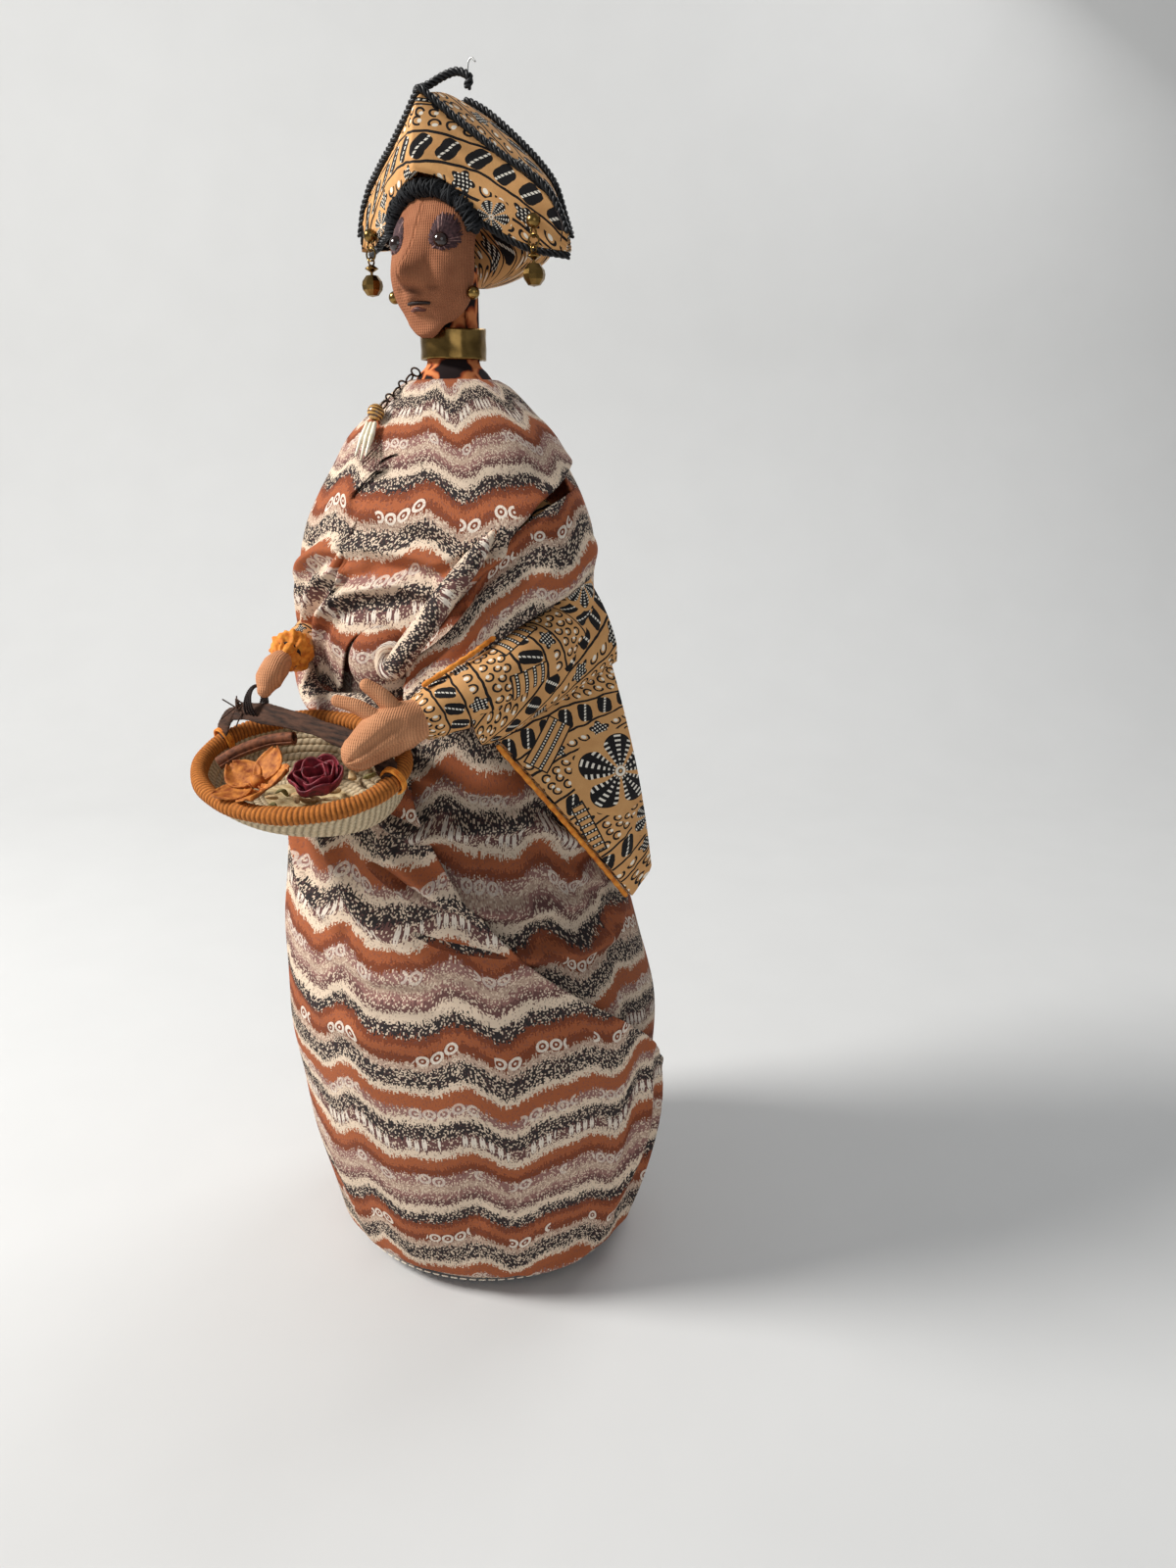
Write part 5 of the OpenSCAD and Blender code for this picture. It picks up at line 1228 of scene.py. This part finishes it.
u = np.linspace(-0.985, 0.985, 120)
parts = []
for q in ([front_point(u, 1) + lift + [0, 0, -0.1], back_point(u, 1) + lift + [0, 0, -0.1]]
          + [front_point(np.linspace(0.4, 0.985, 50) * s_, 0, 1.2) - 0.7 * lift for s_ in (-1, 1)]):
    parts += braid(world(q), 1.25, 6.5, 8, 3, 0.62)
parts.append(ball(world([-2, -12, 458.2]), 2.3, 14, (1.1, 1, 0.9)))
piece("turban_braids", parts, CORD, "head", "turban_cords")
q = spline([[-2.2, -11, 459.2], [1.4, -10, 460.4], [5.2, -8.5, 462.4], [10, -6.5, 463.8], [14.3, -5.5, 461.8],
            [13.3, -5.5, 458.8]], 70)
piece("braid_curl", braid(world(q), 1.35, 5.5, 8, 3, 0.62), CORD, "head", "turban_curl")
q = spline([[13.6, -5.5, 463.2], [14, -5.5, 466.2], [15.4, -5.5, 467.4], [16.9, -5.5, 466.2]], 30)
piece("wire_hook", [tube(world(q), 0.32, 8)], STEEL, "head")
q = front_point(np.array([0.93, 0.95, 0.96]), 1, -1.2) + [[0, 0, 1], [1.5, -1, -1.5], [0.5, -1.5, -5]]
piece("thread_ends", [tube(world(spline(q, 16)), 0.22, 6)], THREAD, "head")
T, Z = np.meshgrid(np.linspace(-34, 214, 90), np.linspace(377.8, 403, 40))
P = np.stack([9.15 * np.cos(np.radians(T)), 1.2 + 9.15 * np.sin(np.radians(T)) + 0 * Z, Z], 2)
P[..., 1] = np.maximum(P[..., 1], -1.9)
T, Z = np.meshgrid(np.linspace(0, 360, 60, endpoint=False), np.linspace(378.0, 402, 20))
Q = np.stack([6.7 * np.cos(np.radians(T)), 6.9 * np.sin(np.radians(T)) - 0.4, Z], 2)
piece("nape_wrap", [grid(world(P)), grid(world(Q), wrap=True)], VEIN, "head", "nape_cloth")

# ---------------------------------------------------------------- dangles

def lathe(profile, c, n=28):
    """A shape turned about an upright axis through c, from (radius, height) points."""
    a = around(n)
    P = np.array([np.stack([r * np.cos(a), r * np.sin(a), np.full(n, z_)], 1) for r, z_ in profile])
    return grid(P + c, wrap=True)


a = np.linspace(0, 2 * pi, 33)
for name, p_ in (("left", [37.8, -2.8, 415.6]), ("right", [-33.3, -4.4, 415.6])):
    c = world(p_) + [0, 0, -9.0]
    loop = tube(c + np.stack([0 * a, 1.4 * np.cos(a), 1.4 * np.sin(a)], 1), 0.35, 10, cap=False)
    pin = tube(c + np.array([[0, 0, -1.4], [0, 0, -2.4], [0, 0, -4.6]]), 0.5, 10)
    cone = lathe([(0.01, -0.35), (0.7, -0.4), (2.4, -1.55), (2.55, -1.75), (2.4, -1.95), (0.7, -3.0), (0.01, -3.05)],
                 c + [0, 0, -0.6])
    piece(name + "_drop_metal", [loop, pin, cone], BRASS, name + "_drop", name + "_dangle_drop")
    bead = lathe([(0.01, 3.98), (2.2, 3.5), (3.7, 1.55), (4.0, 0), (3.7, -1.55), (2.2, -3.5), (0.01, -3.98)],
                 c + [0, 0, -8.3], 9)
    piece(name + "_drop_bead", [bead], BRASS, name + "_drop", smooth=False)

# ---------------------------------------------------------------- materials of the CAD nodes that stay

SISAL_FLAT = plain("sisal_base", (150, 124, 84), (214, 194, 152), 1.6, 0.9, depth=0.35, stretch=(3, 1, 1))


def striped_bead():
    g = G("striped_bead", 0.22, spec=0.6)
    x, y, z = g.place()
    n = g.noise(g.vec(x / 2, y / 2, z / 2), 1, 2)
    band = ((z + y * 0.5) / 1.35 + n * 0.5).fract()
    g.colour(g.ramp(band, [(0.0, srgb(196, 146, 78)), (0.38, srgb(214, 166, 94)), (0.5, srgb(84, 48, 24)),
                           (0.82, srgb(64, 34, 18)), (0.95, srgb(196, 146, 78))]))
    g.bump(n, 0.03)
    return g.mat


kept = {"base_felt": FELT, "base_disc": DARKWOOD, "post_screw": STEEL, "center_post": WOOD, "ballast_weight": STEEL,
        "skirt_form": WADDING, "torso_form": WADDING, "arm_wires": STEEL, "basket_base": SISAL_FLAT,
        "necklace_bead": striped_bead(), "head_hub": WOOD, "ear_studs": BRASS, "dangle_studs": BRASS,
        "left_dangle_link": BRASS, "right_dangle_link": BRASS,
        "hem_band": plain("hem_lining", (58, 44, 42), (104, 78, 70), 2, 0.9, depth=0.2)}
for name, mat in kept.items():
    me = nodes[name].data
    me.materials.clear()
    me.materials.append(mat)

# ---------------------------------------------------------------- floor, light and camera

CAMERA_SIDE = math.radians(35)
nearest, flat_to, bend_r, half_width, height = -1.6, 0.6, 0.45, 2.2, 2.2       # metres
sweep = ([(nearest, 0.0)] + [(flat_to + bend_r * math.sin(a_), bend_r * (1 - math.cos(a_)))
                             for a_ in np.linspace(0, pi / 2, 40)] + [(flat_to + bend_r, height)])
away = np.array([-math.sin(CAMERA_SIDE), math.cos(CAMERA_SIDE)])
across = np.array([away[1], -away[0]])
verts = [(*(away * d_ + across * w_), h_) for d_, h_ in sweep for w_ in (-half_width, half_width)]
me = bpy.data.meshes.new("floor")
me.from_pydata(verts, [], [(2 * k, 2 * k + 1, 2 * k + 3, 2 * k + 2) for k in range(len(sweep) - 1)])
me.polygons.foreach_set("use_smooth", [True] * len(me.polygons))
floor = bpy.data.objects.new("floor", me)
bpy.context.scene.collection.objects.link(floor)
g = G("pale_floor", 0.8, spec=0.2)
x, y, z = g.place()
g.colour(g.ramp(g.noise(g.vec(x / 60, y / 60, z / 60), 1, 3), [(0.3, srgb(210, 210, 209)), (0.7, srgb(212, 212, 211))]))
me.materials.append(g.mat)

def area_light(name, at_, size, power, colour=(1, 1, 1)):
    aim = Vector((0, 0, 0.23))
    li = bpy.data.lights.new(name, "AREA")
    li.shape, li.size, li.energy, li.color = "DISK", size, power, colour
    ob = bpy.data.objects.new(name, li)
    ob.location = at_
    ob.rotation_euler = (aim - Vector(at_)).to_track_quat("-Z", "Y").to_euler()
    bpy.context.scene.collection.objects.link(ob)


area_light("key", (-0.8, -0.85, 1.15), 0.45, 29, (1.0, 0.985, 0.96))
area_light("fill", (1.1, -0.75, 0.6), 0.9, 2.2, (0.95, 0.97, 1.0))
area_light("back", (0.1, 0.9, 1.1), 0.7, 4.5)
world_ = bpy.data.worlds.new("studio")
world_.use_nodes = True
background = world_.node_tree.nodes["Background"].inputs
background[0].default_value = (0.86, 0.9, 0.94, 1)
background[1].default_value = 0.27
bpy.context.scene.world = world_

cam = bpy.data.cameras.new("camera")
cam.lens, cam.sensor_width, cam.sensor_fit = 27.2, 36.0, "AUTO"
cam_ob = bpy.data.objects.new("camera", cam)
cam_ob.location = (0.3099, -0.3641, 0.3468)
cam_ob.rotation_euler = (math.radians(73.3), 0, CAMERA_SIDE)
bpy.context.scene.collection.objects.link(cam_ob)
bpy.context.scene.camera = cam_ob
bpy.context.scene.view_settings.view_transform = "Standard"
